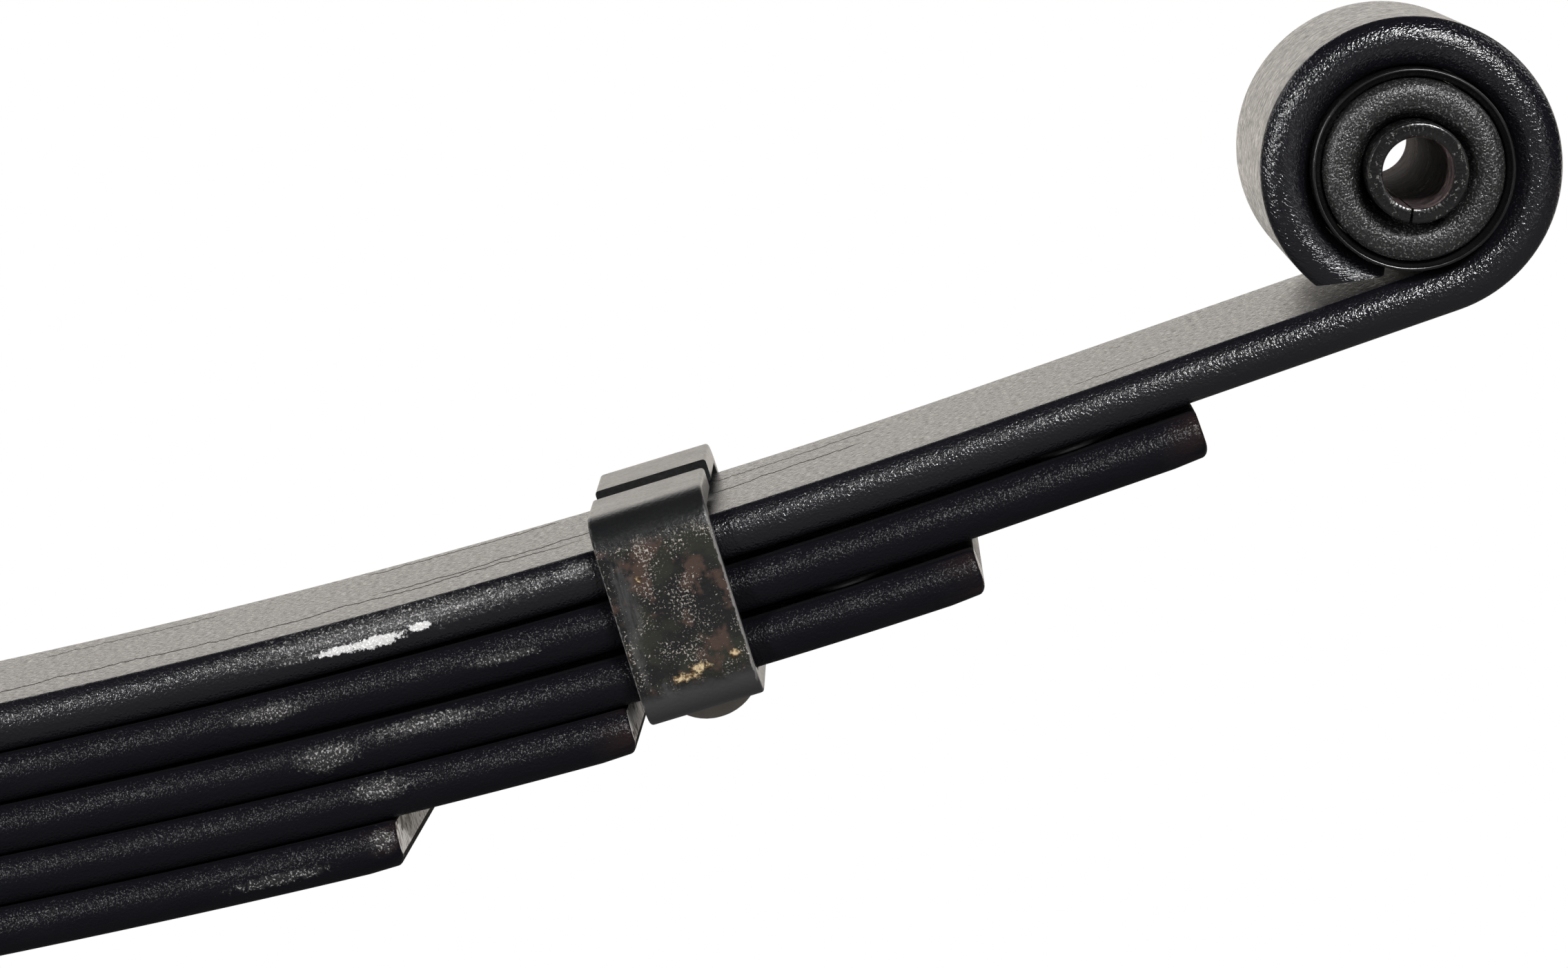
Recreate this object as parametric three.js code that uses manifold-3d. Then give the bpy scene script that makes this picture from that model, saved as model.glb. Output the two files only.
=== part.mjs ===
// Semi-elliptic leaf spring: five leaves held by a centre bolt, an upturned eye with a pressed-in
// rubber bush at each end, tip pads between the upper leaves and one riveted rebound clip per side.
// Millimetres, +X towards the front eye, +Y across the leaves, +Z up.
// The origin is the middle of the axle seat, on the underside of the lowest leaf.
import * as THREE from "three";
import { mergeVertices } from "three/addons/utils/BufferGeometryUtils.js";
import Module from "manifold-3d";

// Leaves
const LEAF_WIDTH = 60;
const LEAF_THICKNESS = 8;
const LEAF_COUNT = 5;
const EDGE_BULGE = 2;
const SEAT_HALF = 50;
const CAMBER_RADIUS = 1465.9;
const EYE_SLOPE = THREE.MathUtils.degToRad(19.39);
const EYE_RUN = 79.5;
const SEAT_GAP = 0.5;
const TIP_GAP = 1.6;
const TIP_OPENING_RUN = 190;
const TIP_SETBACKS = [0, 46.9, 89.2, 151.4, 192.6];

// Eye
const EYE_BORE_RADIUS = 17.1;
const EYE_SCARF_ANGLE = THREE.MathUtils.degToRad(278.9);
const EYE_SCARF_STEP = 0.03;
const EYE_CURL_END = THREE.MathUtils.degToRad(256);

// Bush
const BUSH_CLEARANCE = 0.3;
const SHELL_WALL = 1.4;
const SHELL_PROUD_LENGTH = 3;
const SHELL_LIP = 0.5;
const RUBBER_PROUD_LENGTH = 1.8;
const RUBBER_CROWN = 3.1;
const SLEEVE_RADIUS = 8.4;
const SLEEVE_BORE_RADIUS = 6;
const SLEEVE_PROUD_LENGTH = 10;
const SLEEVE_CHAMFER = 0.7;

// Tip pads
const PAD_SETBACK = 21.5;
const PAD_END_RADIUS = 8;
const PAD_INSET = 4;
const PAD_BUTTON_RADIUS = 4.5;
const PAD_BUTTON_DEPTH = 5;
const PADDED_LEAVES = [2, 3];

// Rebound clips
const CLIP_SETBACK = 139;
const CLIP_WIDTH = 20;
const CLIP_THICKNESS = 4;
const CLIP_INNER_BEND = 2.5;
const CLIP_SIDE_GAP = 0.4;
const CLIP_TOP_GAP = 1.5;
const CLIP_EAR_GAP = 12;
const RIVET_RADIUS = 4;
const RIVET_HEAD_RADIUS = 8;
const RIVET_HEAD_HEIGHT = 6;

// Centre bolt
const BOLT_RADIUS = 5;
const BOLT_HEAD_RADIUS = 8.5;
const BOLT_HEAD_HEIGHT = 8;
const BOLT_CHAMFER = 0.8;
const BOLT_STUB = 4;
const NUT_ACROSS_FLATS = 17;
const NUT_HEIGHT = 9;

// General
const CLEARANCE = 0.3;
const CUTTER_MARGIN = 1;
const EDGE_SEGMENTS = 4;
const ARC_STEPS = 16;
const RUN_STEPS = 3;
const CURL_STEPS = 28;
const ROUND_SEGMENTS = 36;
const SMALL_ROUND_SEGMENTS = 24;

const CLIPPED_LEAF = 3;
const ARC_LENGTH = CAMBER_RADIUS * EYE_SLOPE;
const EYE_FOOT = SEAT_HALF + ARC_LENGTH + EYE_RUN;
const STACK_HEIGHT = LEAF_COUNT * LEAF_THICKNESS + (LEAF_COUNT - 1) * SEAT_GAP;
const EYE_SCARF_DISTANCE = EYE_BORE_RADIUS - EYE_SCARF_STEP;
const SHELL_RADIUS = EYE_BORE_RADIUS - BUSH_CLEARANCE;
const SHELL_HALF_LENGTH = LEAF_WIDTH / 2 + SHELL_PROUD_LENGTH;
const RUBBER_HALF_LENGTH = LEAF_WIDTH / 2 + RUBBER_PROUD_LENGTH;
const SLEEVE_HALF_LENGTH = LEAF_WIDTH / 2 + SLEEVE_PROUD_LENGTH;
const PAD_SPAN = LEAF_WIDTH - 2 * PAD_INSET;
const PAD_THICKNESS = TIP_GAP - 2 * CLEARANCE;

const wasm = await Module();
wasm.setup();

const PAINT = { color: 0x1b1c1e, metalness: 0.3, roughness: 0.45 };
const STEEL = { color: 0x4a4744, metalness: 0.8, roughness: 0.5 };
const RUBBER = { color: 0x151515, metalness: 0, roughness: 0.75 };
const PLASTIC = { color: 0x2c2b2a, metalness: 0, roughness: 0.6 };

// ---- solids ----

function toManifold(geometry) {
  const bare = geometry.clone();
  bare.deleteAttribute("normal");
  bare.deleteAttribute("uv");
  const merged = mergeVertices(bare, 1e-4);
  return new wasm.Manifold(
    new wasm.Mesh({
      numProp: 3,
      vertProperties: new Float32Array(merged.attributes.position.array),
      triVerts: new Uint32Array(merged.index.array),
    }),
  );
}

function toGeometry(manifold) {
  const mesh = manifold.getMesh();
  const geometry = new THREE.BufferGeometry();
  geometry.setAttribute("position", new THREE.BufferAttribute(new Float32Array(mesh.vertProperties), 3));
  geometry.setIndex(new THREE.BufferAttribute(new Uint32Array(mesh.triVerts), 1));
  geometry.computeVertexNormals();
  return geometry;
}

function subtract(geometry, cutters) {
  return toGeometry(cutters.reduce((body, cutter) => body.subtract(toManifold(cutter)), toManifold(geometry)));
}

function unite(geometries) {
  return toGeometry(geometries.map(toManifold).reduce((a, b) => a.add(b)));
}

// A solid turned about +Z from [radius, z] pairs that start and end on the axis, or that close on themselves.
function turned(profile, segments) {
  const points = profile.map(([radius, z]) => new THREE.Vector2(radius, z));
  return new THREE.LatheGeometry(points, segments).rotateX(Math.PI / 2);
}

// A tube about +Y with chamfered or flared ends, from [radius, y] pairs.
function turnedAcross(profile, segments) {
  return new THREE.LatheGeometry(
    profile.map(([radius, y]) => new THREE.Vector2(radius, y)),
    segments,
  );
}

// ---- the curve of the main leaf's upper face ----

// Slope of the leaf at a distance along it from the middle.
function slopeAt(distance) {
  const along = THREE.MathUtils.clamp(Math.abs(distance) - SEAT_HALF, 0, ARC_LENGTH);
  return (Math.sign(distance) * along) / CAMBER_RADIUS;
}

// Point of the upper face at a distance along it from the middle.
function pointAt(distance) {
  const reach = Math.abs(distance);
  const flat = Math.min(reach, SEAT_HALF);
  const angle = Math.abs(slopeAt(distance));
  const run = Math.max(0, reach - SEAT_HALF - ARC_LENGTH);
  const x = flat + CAMBER_RADIUS * Math.sin(angle) + run * Math.cos(angle);
  const z = STACK_HEIGHT + CAMBER_RADIUS * (1 - Math.cos(angle)) + run * Math.sin(angle);
  return new THREE.Vector2(Math.sign(distance || 1) * x, z);
}

// Point at a depth below the main leaf's upper face.
function pointBelow(distance, depth) {
  const angle = slopeAt(distance);
  const top = pointAt(distance);
  return new THREE.Vector2(top.x + depth * Math.sin(angle), top.y - depth * Math.cos(angle));
}

function tipOf(leaf) {
  return EYE_FOOT - TIP_SETBACKS[leaf - 1];
}

// Gap between a leaf and the one above it: tight at the seat, opened by the pad near the tip.
function gapAbove(leaf, distance) {
  if (!PADDED_LEAVES.includes(leaf)) {
    return SEAT_GAP;
  }
  const padPlace = tipOf(leaf) - PAD_SETBACK - PAD_END_RADIUS;
  const rise = THREE.MathUtils.smoothstep(Math.abs(distance), padPlace - TIP_OPENING_RUN, padPlace);
  return SEAT_GAP + (TIP_GAP - SEAT_GAP) * rise;
}

// Depth of a leaf's upper face below the main leaf's upper face.
function leafDepth(leaf, distance) {
  let depth = 0;
  for (let above = 2; above <= leaf; above += 1) {
    depth += LEAF_THICKNESS + gapAbove(above, distance);
  }
  return depth;
}

// Places a geometry whose own X, Y, Z run along the leaf, across it and out of its upper face.
function placeOnLeaf(geometry, distance, depth) {
  const angle = slopeAt(distance);
  const place = pointBelow(distance, depth);
  const matrix = new THREE.Matrix4()
    .makeBasis(
      new THREE.Vector3(Math.cos(angle), 0, Math.sin(angle)),
      new THREE.Vector3(0, 1, 0),
      new THREE.Vector3(-Math.sin(angle), 0, Math.cos(angle)),
    )
    .setPosition(place.x, 0, place.y);
  return geometry.clone().applyMatrix4(matrix);
}

// ---- leaves ----

// Cross-section of a leaf as [y, depth] pairs: flat faces and two convex edges.
function leafSection() {
  const half = LEAF_THICKNESS / 2;
  const radius = (half * half + EDGE_BULGE * EDGE_BULGE) / (2 * EDGE_BULGE);
  const spread = Math.asin(half / radius);
  const centre = LEAF_WIDTH / 2 - radius;
  const edge = [];
  for (let i = 0; i <= EDGE_SEGMENTS; i += 1) {
    const angle = -spread + (2 * spread * i) / EDGE_SEGMENTS;
    edge.push([centre + radius * Math.cos(angle), half + radius * Math.sin(angle)]);
  }
  const mirrored = edge.map(([y, depth]) => [-y, depth]).reverse();
  return [...edge, ...mirrored];
}

// Joins sections placed along a chain of stations; each station turns a depth into a point in XZ.
function loft(stations) {
  const section = leafSection();
  const count = section.length;
  const rungs = count / 2;
  const positions = [];
  for (const station of stations) {
    for (const [y, depth] of section) {
      const point = station(depth);
      positions.push(point.x, y, point.y);
    }
  }
  const indices = [];
  for (let s = 0; s + 1 < stations.length; s += 1) {
    for (let i = 0; i < count; i += 1) {
      const a = s * count + i;
      const b = s * count + ((i + 1) % count);
      indices.push(a, a + count, b, b, a + count, b + count);
    }
  }
  const last = (stations.length - 1) * count;
  for (let i = 0; i + 1 < rungs; i += 1) {
    const a = i;
    const b = i + 1;
    const c = count - 2 - i;
    const d = count - 1 - i;
    indices.push(a, b, c, a, c, d);
    indices.push(last + a, last + c, last + b, last + a, last + d, last + c);
  }
  const geometry = new THREE.BufferGeometry();
  geometry.setAttribute("position", new THREE.Float32BufferAttribute(positions, 3));
  geometry.setIndex(indices);
  return geometry;
}

// Distances at which every leaf has a station, up to a tip.
function stationDistances(tip) {
  const distances = [0, SEAT_HALF];
  for (let i = 1; i <= ARC_STEPS; i += 1) {
    distances.push(SEAT_HALF + (ARC_LENGTH * i) / ARC_STEPS);
  }
  for (let i = 1; i <= RUN_STEPS; i += 1) {
    distances.push(SEAT_HALF + ARC_LENGTH + (EYE_RUN * i) / RUN_STEPS);
  }
  const inside = distances.filter((distance) => distance < tip - CUTTER_MARGIN);
  return [...inside, tip];
}

function straightStations(leaf, tip) {
  return stationDistances(tip).map(
    (distance) => (depth) => pointBelow(distance, leafDepth(leaf, distance) + depth),
  );
}

function eyeCentre() {
  return pointBelow(EYE_FOOT, -EYE_BORE_RADIUS);
}

// Stations of the curl: radial sections, and at its end a scarf that lies along the leaf.
function curlStations() {
  const centre = eyeCentre();
  const start = EYE_SLOPE - Math.PI / 2;
  const stations = [];
  for (let i = 1; i <= CURL_STEPS; i += 1) {
    stations.push((depth) => {
      const radius = EYE_BORE_RADIUS + depth;
      const cut = EYE_SCARF_ANGLE - Math.acos(Math.min(1, EYE_SCARF_DISTANCE / radius));
      const end = Math.min(EYE_CURL_END, cut);
      const angle = start + ((end - start) * i) / CURL_STEPS;
      return new THREE.Vector2(centre.x + radius * Math.cos(angle), centre.y + radius * Math.sin(angle));
    });
  }
  return stations;
}

function mirrored(stations) {
  return [...stations].reverse().map((station) => (depth) => {
    const point = station(depth);
    return new THREE.Vector2(-point.x, point.y);
  });
}

function cylinderCutter(radius, low, high, segments) {
  return turned(
    [
      [0, low],
      [radius, low],
      [radius, high],
      [0, high],
    ],
    segments,
  );
}

// A hole square to the leaf through its full thickness.
function leafHole(leaf, distance, radius) {
  const cutter = cylinderCutter(
    radius,
    -LEAF_THICKNESS - CUTTER_MARGIN,
    CUTTER_MARGIN,
    SMALL_ROUND_SEGMENTS,
  );
  return placeOnLeaf(cutter, distance, leafDepth(leaf, distance));
}

function leaf(number) {
  const straight = straightStations(number, tipOf(number));
  const half = number === 1 ? [...straight, ...curlStations()] : straight;
  const solid = loft([...mirrored(half.slice(1)), ...half]);
  const holes = [leafHole(number, 0, BOLT_RADIUS + CLEARANCE)];
  for (const side of [-1, 1]) {
    if (PADDED_LEAVES.includes(number)) {
      holes.push(leafHole(number, side * (tipOf(number) - PAD_SETBACK), PAD_BUTTON_RADIUS + CLEARANCE));
    }
    if (number === CLIPPED_LEAF) {
      holes.push(leafHole(number, side * (EYE_FOOT - CLIP_SETBACK), RIVET_RADIUS + CLEARANCE));
    }
  }
  return subtract(solid, holes);
}

// ---- bush ----

function atEye(geometry, side) {
  const centre = eyeCentre();
  return geometry.translate(side * centre.x, 0, centre.y);
}

function bushShell(side) {
  const inner = SHELL_RADIUS - SHELL_WALL;
  const end = SHELL_HALF_LENGTH;
  const profile = [
    [inner, -end],
    [SHELL_RADIUS - SHELL_LIP, -end],
    [SHELL_RADIUS, -end + SHELL_LIP],
    [SHELL_RADIUS, end - SHELL_LIP],
    [SHELL_RADIUS - SHELL_LIP, end],
    [inner, end],
    [inner, -end],
  ];
  return atEye(turnedAcross(profile, ROUND_SEGMENTS), side);
}

// One end face of the rubber, from the sleeve out to the shell, as [radius, y] pairs.
function rubberFace() {
  const inner = SLEEVE_RADIUS + BUSH_CLEARANCE;
  const outer = SHELL_RADIUS - SHELL_WALL - BUSH_CLEARANCE;
  return [
    [inner, RUBBER_HALF_LENGTH],
    [inner + 0.16 * (outer - inner), RUBBER_HALF_LENGTH + 0.8 * RUBBER_CROWN],
    [inner + 0.5 * (outer - inner), RUBBER_HALF_LENGTH + RUBBER_CROWN],
    [inner + 0.82 * (outer - inner), RUBBER_HALF_LENGTH + 0.85 * RUBBER_CROWN],
    [outer, RUBBER_HALF_LENGTH + 0.2 * RUBBER_CROWN],
  ];
}

function bushRubber(side) {
  const face = rubberFace();
  const lower = face.map(([radius, y]) => [radius, -y]);
  const upper = [...face].reverse();
  return atEye(turnedAcross([...lower, ...upper, lower[0]], ROUND_SEGMENTS), side);
}

function innerSleeve(side) {
  const end = SLEEVE_HALF_LENGTH;
  const profile = [
    [SLEEVE_BORE_RADIUS, -end],
    [SLEEVE_RADIUS - SLEEVE_CHAMFER, -end],
    [SLEEVE_RADIUS, -end + SLEEVE_CHAMFER],
    [SLEEVE_RADIUS, end - SLEEVE_CHAMFER],
    [SLEEVE_RADIUS - SLEEVE_CHAMFER, end],
    [SLEEVE_BORE_RADIUS, end],
    [SLEEVE_BORE_RADIUS, -end],
  ];
  return atEye(turnedAcross(profile, ROUND_SEGMENTS), side);
}

// ---- tip pads ----

// A round-ended pad lying across the gap, with a button that drops into the leaf below.
function tipPad(number, side) {
  const reach = PAD_SPAN / 2 - PAD_END_RADIUS;
  const outline = new THREE.Shape();
  outline.absarc(0, reach, PAD_END_RADIUS, 0, Math.PI, false);
  outline.absarc(0, -reach, PAD_END_RADIUS, Math.PI, 2 * Math.PI, false);
  const plate = new THREE.ExtrudeGeometry(outline, {
    depth: PAD_THICKNESS,
    bevelEnabled: false,
    curveSegments: SMALL_ROUND_SEGMENTS / 2,
  }).translate(0, 0, CLEARANCE);
  const button = cylinderCutter(
    PAD_BUTTON_RADIUS,
    -PAD_BUTTON_DEPTH,
    CLEARANCE + PAD_THICKNESS / 2,
    SMALL_ROUND_SEGMENTS,
  );
  const distance = side * (tipOf(number) - PAD_SETBACK);
  return placeOnLeaf(unite([plate, button]), distance, leafDepth(number, distance));
}

// ---- rebound clip and its rivet ----

function clipDistance(side) {
  return side * (EYE_FOOT - CLIP_SETBACK);
}

// Depth of the clip's inner base face below the main leaf's upper face.
function clipBaseDepth(side) {
  return leafDepth(CLIPPED_LEAF, clipDistance(side)) + LEAF_THICKNESS + CLEARANCE;
}

// Points of a quarter bend from one direction to the next about a centre.
function quarterBend(centreY, centreZ, radius, from) {
  const points = [];
  for (let i = 0; i <= EDGE_SEGMENTS; i += 1) {
    const angle = from + ((Math.PI / 2) * i) / EDGE_SEGMENTS;
    points.push([centreY + radius * Math.cos(angle), centreZ + radius * Math.sin(angle)]);
  }
  return points;
}

// One face of the strap from the base's middle up and over to the ear's end, as [y, z] pairs.
function strapFace(bendRadius, sideFace, baseFace, earFace, earEnd) {
  const bendY = sideFace - bendRadius;
  return [
    ...quarterBend(bendY, baseFace + bendRadius, bendRadius, -Math.PI / 2),
    ...quarterBend(bendY, earFace - bendRadius, bendRadius, 0),
    [earEnd, earFace],
  ];
}

// A flat strap bent into a U around the leaves, its legs folded inwards over the main leaf.
function reboundClip(side) {
  const baseInner = -clipBaseDepth(side);
  const sideInner = LEAF_WIDTH / 2 + CLIP_SIDE_GAP;
  const earEnd = CLIP_EAR_GAP / 2;
  const inner = strapFace(CLIP_INNER_BEND, sideInner, baseInner, CLIP_TOP_GAP, earEnd);
  const outer = strapFace(
    CLIP_INNER_BEND + CLIP_THICKNESS,
    sideInner + CLIP_THICKNESS,
    baseInner - CLIP_THICKNESS,
    CLIP_TOP_GAP + CLIP_THICKNESS,
    earEnd,
  );
  const flip = (points) => points.map(([y, z]) => [-y, z]);
  const outline = [
    ...outer,
    ...[...inner].reverse(),
    ...flip(inner),
    ...flip(outer).reverse(),
  ];
  const strap = new THREE.ExtrudeGeometry(
    new THREE.Shape(outline.map(([y, z]) => new THREE.Vector2(y, z))),
    { depth: CLIP_WIDTH, bevelEnabled: false },
  ).translate(0, 0, -CLIP_WIDTH / 2);
  const turn = new THREE.Matrix4().makeBasis(
    new THREE.Vector3(0, 1, 0),
    new THREE.Vector3(0, 0, 1),
    new THREE.Vector3(1, 0, 0),
  );
  const hole = cylinderCutter(
    RIVET_RADIUS + CLEARANCE,
    baseInner - CLIP_THICKNESS - CUTTER_MARGIN,
    baseInner + CUTTER_MARGIN,
    SMALL_ROUND_SEGMENTS,
  );
  return placeOnLeaf(subtract(strap.applyMatrix4(turn), [hole]), clipDistance(side), 0);
}

// Domed head under the clip, shank through clip and leaf, upset flush with the leaf's upper face.
function clipRivet(side) {
  const headTop = -clipBaseDepth(side) - CLIP_THICKNESS - CLEARANCE;
  const shankTop = -leafDepth(CLIPPED_LEAF, clipDistance(side)) - CLEARANCE;
  const domeRadius = (RIVET_HEAD_RADIUS ** 2 + RIVET_HEAD_HEIGHT ** 2) / (2 * RIVET_HEAD_HEIGHT);
  const spread = Math.asin(RIVET_HEAD_RADIUS / domeRadius);
  const domeCentre = headTop - RIVET_HEAD_HEIGHT + domeRadius;
  const profile = [[0, headTop - RIVET_HEAD_HEIGHT]];
  for (let i = 1; i <= EDGE_SEGMENTS; i += 1) {
    const angle = (spread * i) / EDGE_SEGMENTS;
    profile.push([domeRadius * Math.sin(angle), domeCentre - domeRadius * Math.cos(angle)]);
  }
  profile.push([RIVET_RADIUS, headTop], [RIVET_RADIUS, shankTop], [0, shankTop]);
  return placeOnLeaf(turned(profile, SMALL_ROUND_SEGMENTS), clipDistance(side), 0);
}

// ---- centre bolt and nut ----

// The round head under the stack is the dowel that locates the spring on its axle seat.
function centreBolt() {
  const headTop = -CLEARANCE;
  const headBottom = headTop - BOLT_HEAD_HEIGHT;
  const top = STACK_HEIGHT + CLEARANCE + NUT_HEIGHT + BOLT_STUB;
  return turned(
    [
      [0, headBottom],
      [BOLT_HEAD_RADIUS - BOLT_CHAMFER, headBottom],
      [BOLT_HEAD_RADIUS, headBottom + BOLT_CHAMFER],
      [BOLT_HEAD_RADIUS, headTop],
      [BOLT_RADIUS, headTop],
      [BOLT_RADIUS, top - BOLT_CHAMFER],
      [BOLT_RADIUS - BOLT_CHAMFER, top],
      [0, top],
    ],
    SMALL_ROUND_SEGMENTS,
  );
}

function centreNut() {
  const bottom = STACK_HEIGHT + CLEARANCE;
  const top = bottom + NUT_HEIGHT;
  const corner = NUT_ACROSS_FLATS / Math.sqrt(3);
  const prism = cylinderCutter(corner, bottom, top, 6);
  const shoulder = turned(
    [
      [0, bottom],
      [corner, bottom],
      [corner, top - (corner - NUT_ACROSS_FLATS / 2)],
      [NUT_ACROSS_FLATS / 2, top],
      [0, top],
    ],
    ROUND_SEGMENTS,
  );
  const bore = cylinderCutter(
    BOLT_RADIUS + CLEARANCE,
    bottom - CUTTER_MARGIN,
    top + CUTTER_MARGIN,
    SMALL_ROUND_SEGMENTS,
  );
  return toGeometry(toManifold(prism).intersect(toManifold(shoulder)).subtract(toManifold(bore)));
}

// ---- assembly ----

const group = new THREE.Group();
group.name = "leaf_spring";

function addPiece(name, geometry, finish) {
  const mesh = new THREE.Mesh(geometry, new THREE.MeshStandardMaterial(finish));
  mesh.name = name;
  group.add(mesh);
}

for (let number = 1; number <= LEAF_COUNT; number += 1) {
  addPiece(`leaf_${number}`, leaf(number), PAINT);
}
addPiece("centre_bolt", centreBolt(), STEEL);
addPiece("centre_nut", centreNut(), STEEL);

for (const [end, side] of [
  ["front", 1],
  ["rear", -1],
]) {
  addPiece(`${end}_bush_shell`, bushShell(side), PAINT);
  addPiece(`${end}_bush_rubber`, bushRubber(side), RUBBER);
  addPiece(`${end}_inner_sleeve`, innerSleeve(side), STEEL);
  addPiece(`${end}_clip`, reboundClip(side), PAINT);
  addPiece(`${end}_clip_rivet`, clipRivet(side), PAINT);
  for (const number of PADDED_LEAVES) {
    addPiece(`${end}_tip_pad_${number}`, tipPad(number, side), PLASTIC);
  }
}

export default group;
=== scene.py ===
"""A bushed semi-elliptic leaf spring: detailed leaves, eyes, bushes, clips and bolt around the CAD frame.

Lengths are in metres. +X runs along the spring towards its front eye, +Y across the leaves, +Z up.
"""

import math

import bmesh
import bpy
import numpy as np
from mathutils import Matrix, Vector


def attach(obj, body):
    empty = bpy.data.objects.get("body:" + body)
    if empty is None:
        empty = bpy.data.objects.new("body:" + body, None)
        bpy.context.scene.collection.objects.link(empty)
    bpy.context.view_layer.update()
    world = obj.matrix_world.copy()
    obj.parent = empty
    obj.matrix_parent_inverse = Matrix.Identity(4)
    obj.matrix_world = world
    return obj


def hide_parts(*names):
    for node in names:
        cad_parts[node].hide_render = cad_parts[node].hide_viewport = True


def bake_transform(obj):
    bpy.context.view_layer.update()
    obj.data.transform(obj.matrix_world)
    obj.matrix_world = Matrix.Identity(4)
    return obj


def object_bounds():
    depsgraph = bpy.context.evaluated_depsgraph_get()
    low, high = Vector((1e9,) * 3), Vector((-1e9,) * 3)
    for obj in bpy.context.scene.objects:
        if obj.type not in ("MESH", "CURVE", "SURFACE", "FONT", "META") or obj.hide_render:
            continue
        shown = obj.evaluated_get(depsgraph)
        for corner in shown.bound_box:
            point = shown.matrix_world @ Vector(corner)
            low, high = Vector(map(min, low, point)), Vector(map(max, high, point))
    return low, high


MM = 0.001

# ---- sizes of the spring ----
LEAF_COUNT = 5
LEAF_WIDTH = 60 * MM
LEAF_THICKNESS = 8 * MM
EDGE_BULGE = 2 * MM
CORNER_SOFTNESS = 0.45 * MM
SEAT_HALF = 50 * MM
CAMBER_RADIUS = 1465.9 * MM
EYE_SLOPE = math.radians(19.39)
EYE_RUN = 79.5 * MM
SEAT_GAP = 0.5 * MM
TIP_GAP = 1.6 * MM
TIP_OPENING_RUN = 190 * MM
TIP_SETBACKS = (0, 46.9 * MM, 89.2 * MM, 151.4 * MM, 192.6 * MM)
EYE_BORE_RADIUS = 17.1 * MM
EYE_SCARF_ANGLE = math.radians(278.9)
EYE_SCARF_DISTANCE = EYE_BORE_RADIUS - 0.03 * MM
EYE_CURL_END = math.radians(256)
PADDED_LEAVES = (2, 3)
PAD_SETBACK = 21.5 * MM
PAD_END_RADIUS = 8 * MM
PAD_SPAN = LEAF_WIDTH - 8 * MM
CLIP_SETBACK = 139 * MM
CLIP_WIDTH = 20 * MM
CLIP_THICKNESS = 4 * MM
CLIP_INNER_BEND = 2.5 * MM
CLIP_SIDE_GAP = 0.4 * MM
CLIP_TOP_GAP = 1.5 * MM
CLIP_EAR_GAP = 12 * MM
CLIPPED_LEAF = 3
TOUCH_GAP = 0.3 * MM
SLEEVE_RADIUS = 8.4 * MM
SLEEVE_BORE_RADIUS = 6 * MM
SLEEVE_HALF_LENGTH = LEAF_WIDTH / 2 + 10 * MM
SHELL_WALL = 1.4 * MM
SHELL_HALF_LENGTH = LEAF_WIDTH / 2 + 3 * MM
SHELL_RADIUS = EYE_BORE_RADIUS - TOUCH_GAP
RIVET_HEAD_RADIUS = 8 * MM
RIVET_HEAD_HEIGHT = 6 * MM
RIVET_RADIUS = 4 * MM
BOLT_RADIUS = 5 * MM
BOLT_HEAD_RADIUS = 8.5 * MM
BOLT_HEAD_HEIGHT = 8 * MM
BOLT_STUB = 4 * MM
NUT_ACROSS_FLATS = 17 * MM
NUT_HEIGHT = 9 * MM

ARC_LENGTH = CAMBER_RADIUS * EYE_SLOPE
EYE_FOOT = SEAT_HALF + ARC_LENGTH + EYE_RUN
STACK_HEIGHT = LEAF_COUNT * LEAF_THICKNESS + (LEAF_COUNT - 1) * SEAT_GAP
SIDES = (("front", 1), ("rear", -1))

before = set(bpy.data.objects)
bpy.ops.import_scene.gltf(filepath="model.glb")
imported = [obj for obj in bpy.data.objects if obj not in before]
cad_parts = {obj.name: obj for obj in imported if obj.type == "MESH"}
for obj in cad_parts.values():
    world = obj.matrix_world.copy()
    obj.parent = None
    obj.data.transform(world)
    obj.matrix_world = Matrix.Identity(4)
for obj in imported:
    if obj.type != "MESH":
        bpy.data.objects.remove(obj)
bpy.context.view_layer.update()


# ---- the line of the main leaf's upper face ----


def clamp(value, low, high):
    return max(low, min(high, value))


def slope_at(distance):
    """Slope of the leaf at a distance along it from the middle."""
    return clamp(distance - SEAT_HALF, 0, ARC_LENGTH) / CAMBER_RADIUS


def point_below(distance, depth):
    """(x, z) at a distance along the leaf and a depth below the main leaf's upper face."""
    angle = slope_at(distance)
    run = max(0.0, distance - SEAT_HALF - ARC_LENGTH)
    x = min(distance, SEAT_HALF) + CAMBER_RADIUS * math.sin(angle) + run * math.cos(angle)
    z = STACK_HEIGHT + CAMBER_RADIUS * (1 - math.cos(angle)) + run * math.sin(angle)
    return x + depth * math.sin(angle), z - depth * math.cos(angle)


def tip_of(leaf):
    return EYE_FOOT - TIP_SETBACKS[leaf - 1]


def smoothstep(value, low, high):
    t = clamp((value - low) / (high - low), 0, 1)
    return t * t * (3 - 2 * t)


def leaf_depth(leaf, distance):
    """Depth of a leaf's upper face below the main leaf's: the leaves are tight at the seat and
    opened by the pads near the tips."""
    depth = 0.0
    for above in range(2, leaf + 1):
        gap = SEAT_GAP
        if above in PADDED_LEAVES:
            pad_place = tip_of(above) - PAD_SETBACK - PAD_END_RADIUS
            gap += (TIP_GAP - SEAT_GAP) * smoothstep(distance, pad_place - TIP_OPENING_RUN, pad_place)
        depth += LEAF_THICKNESS + gap
    return depth


def eye_centre(side):
    x, z = point_below(EYE_FOOT, -EYE_BORE_RADIUS)
    return Vector((side * x, 0, z))


def leaf_frame(distance, depth, side):
    """Matrix whose X runs outwards along the leaf, Y across it and Z out of its upper face."""
    angle = slope_at(distance)
    x, z = point_below(distance, depth)
    along = Vector((side * math.cos(angle), 0, math.sin(angle)))
    out = Vector((-side * math.sin(angle), 0, math.cos(angle)))
    across = out.cross(along)
    matrix = Matrix((along, across, out)).transposed().to_4x4()
    matrix.translation = Vector((side * x, 0, z))
    return matrix


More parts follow.
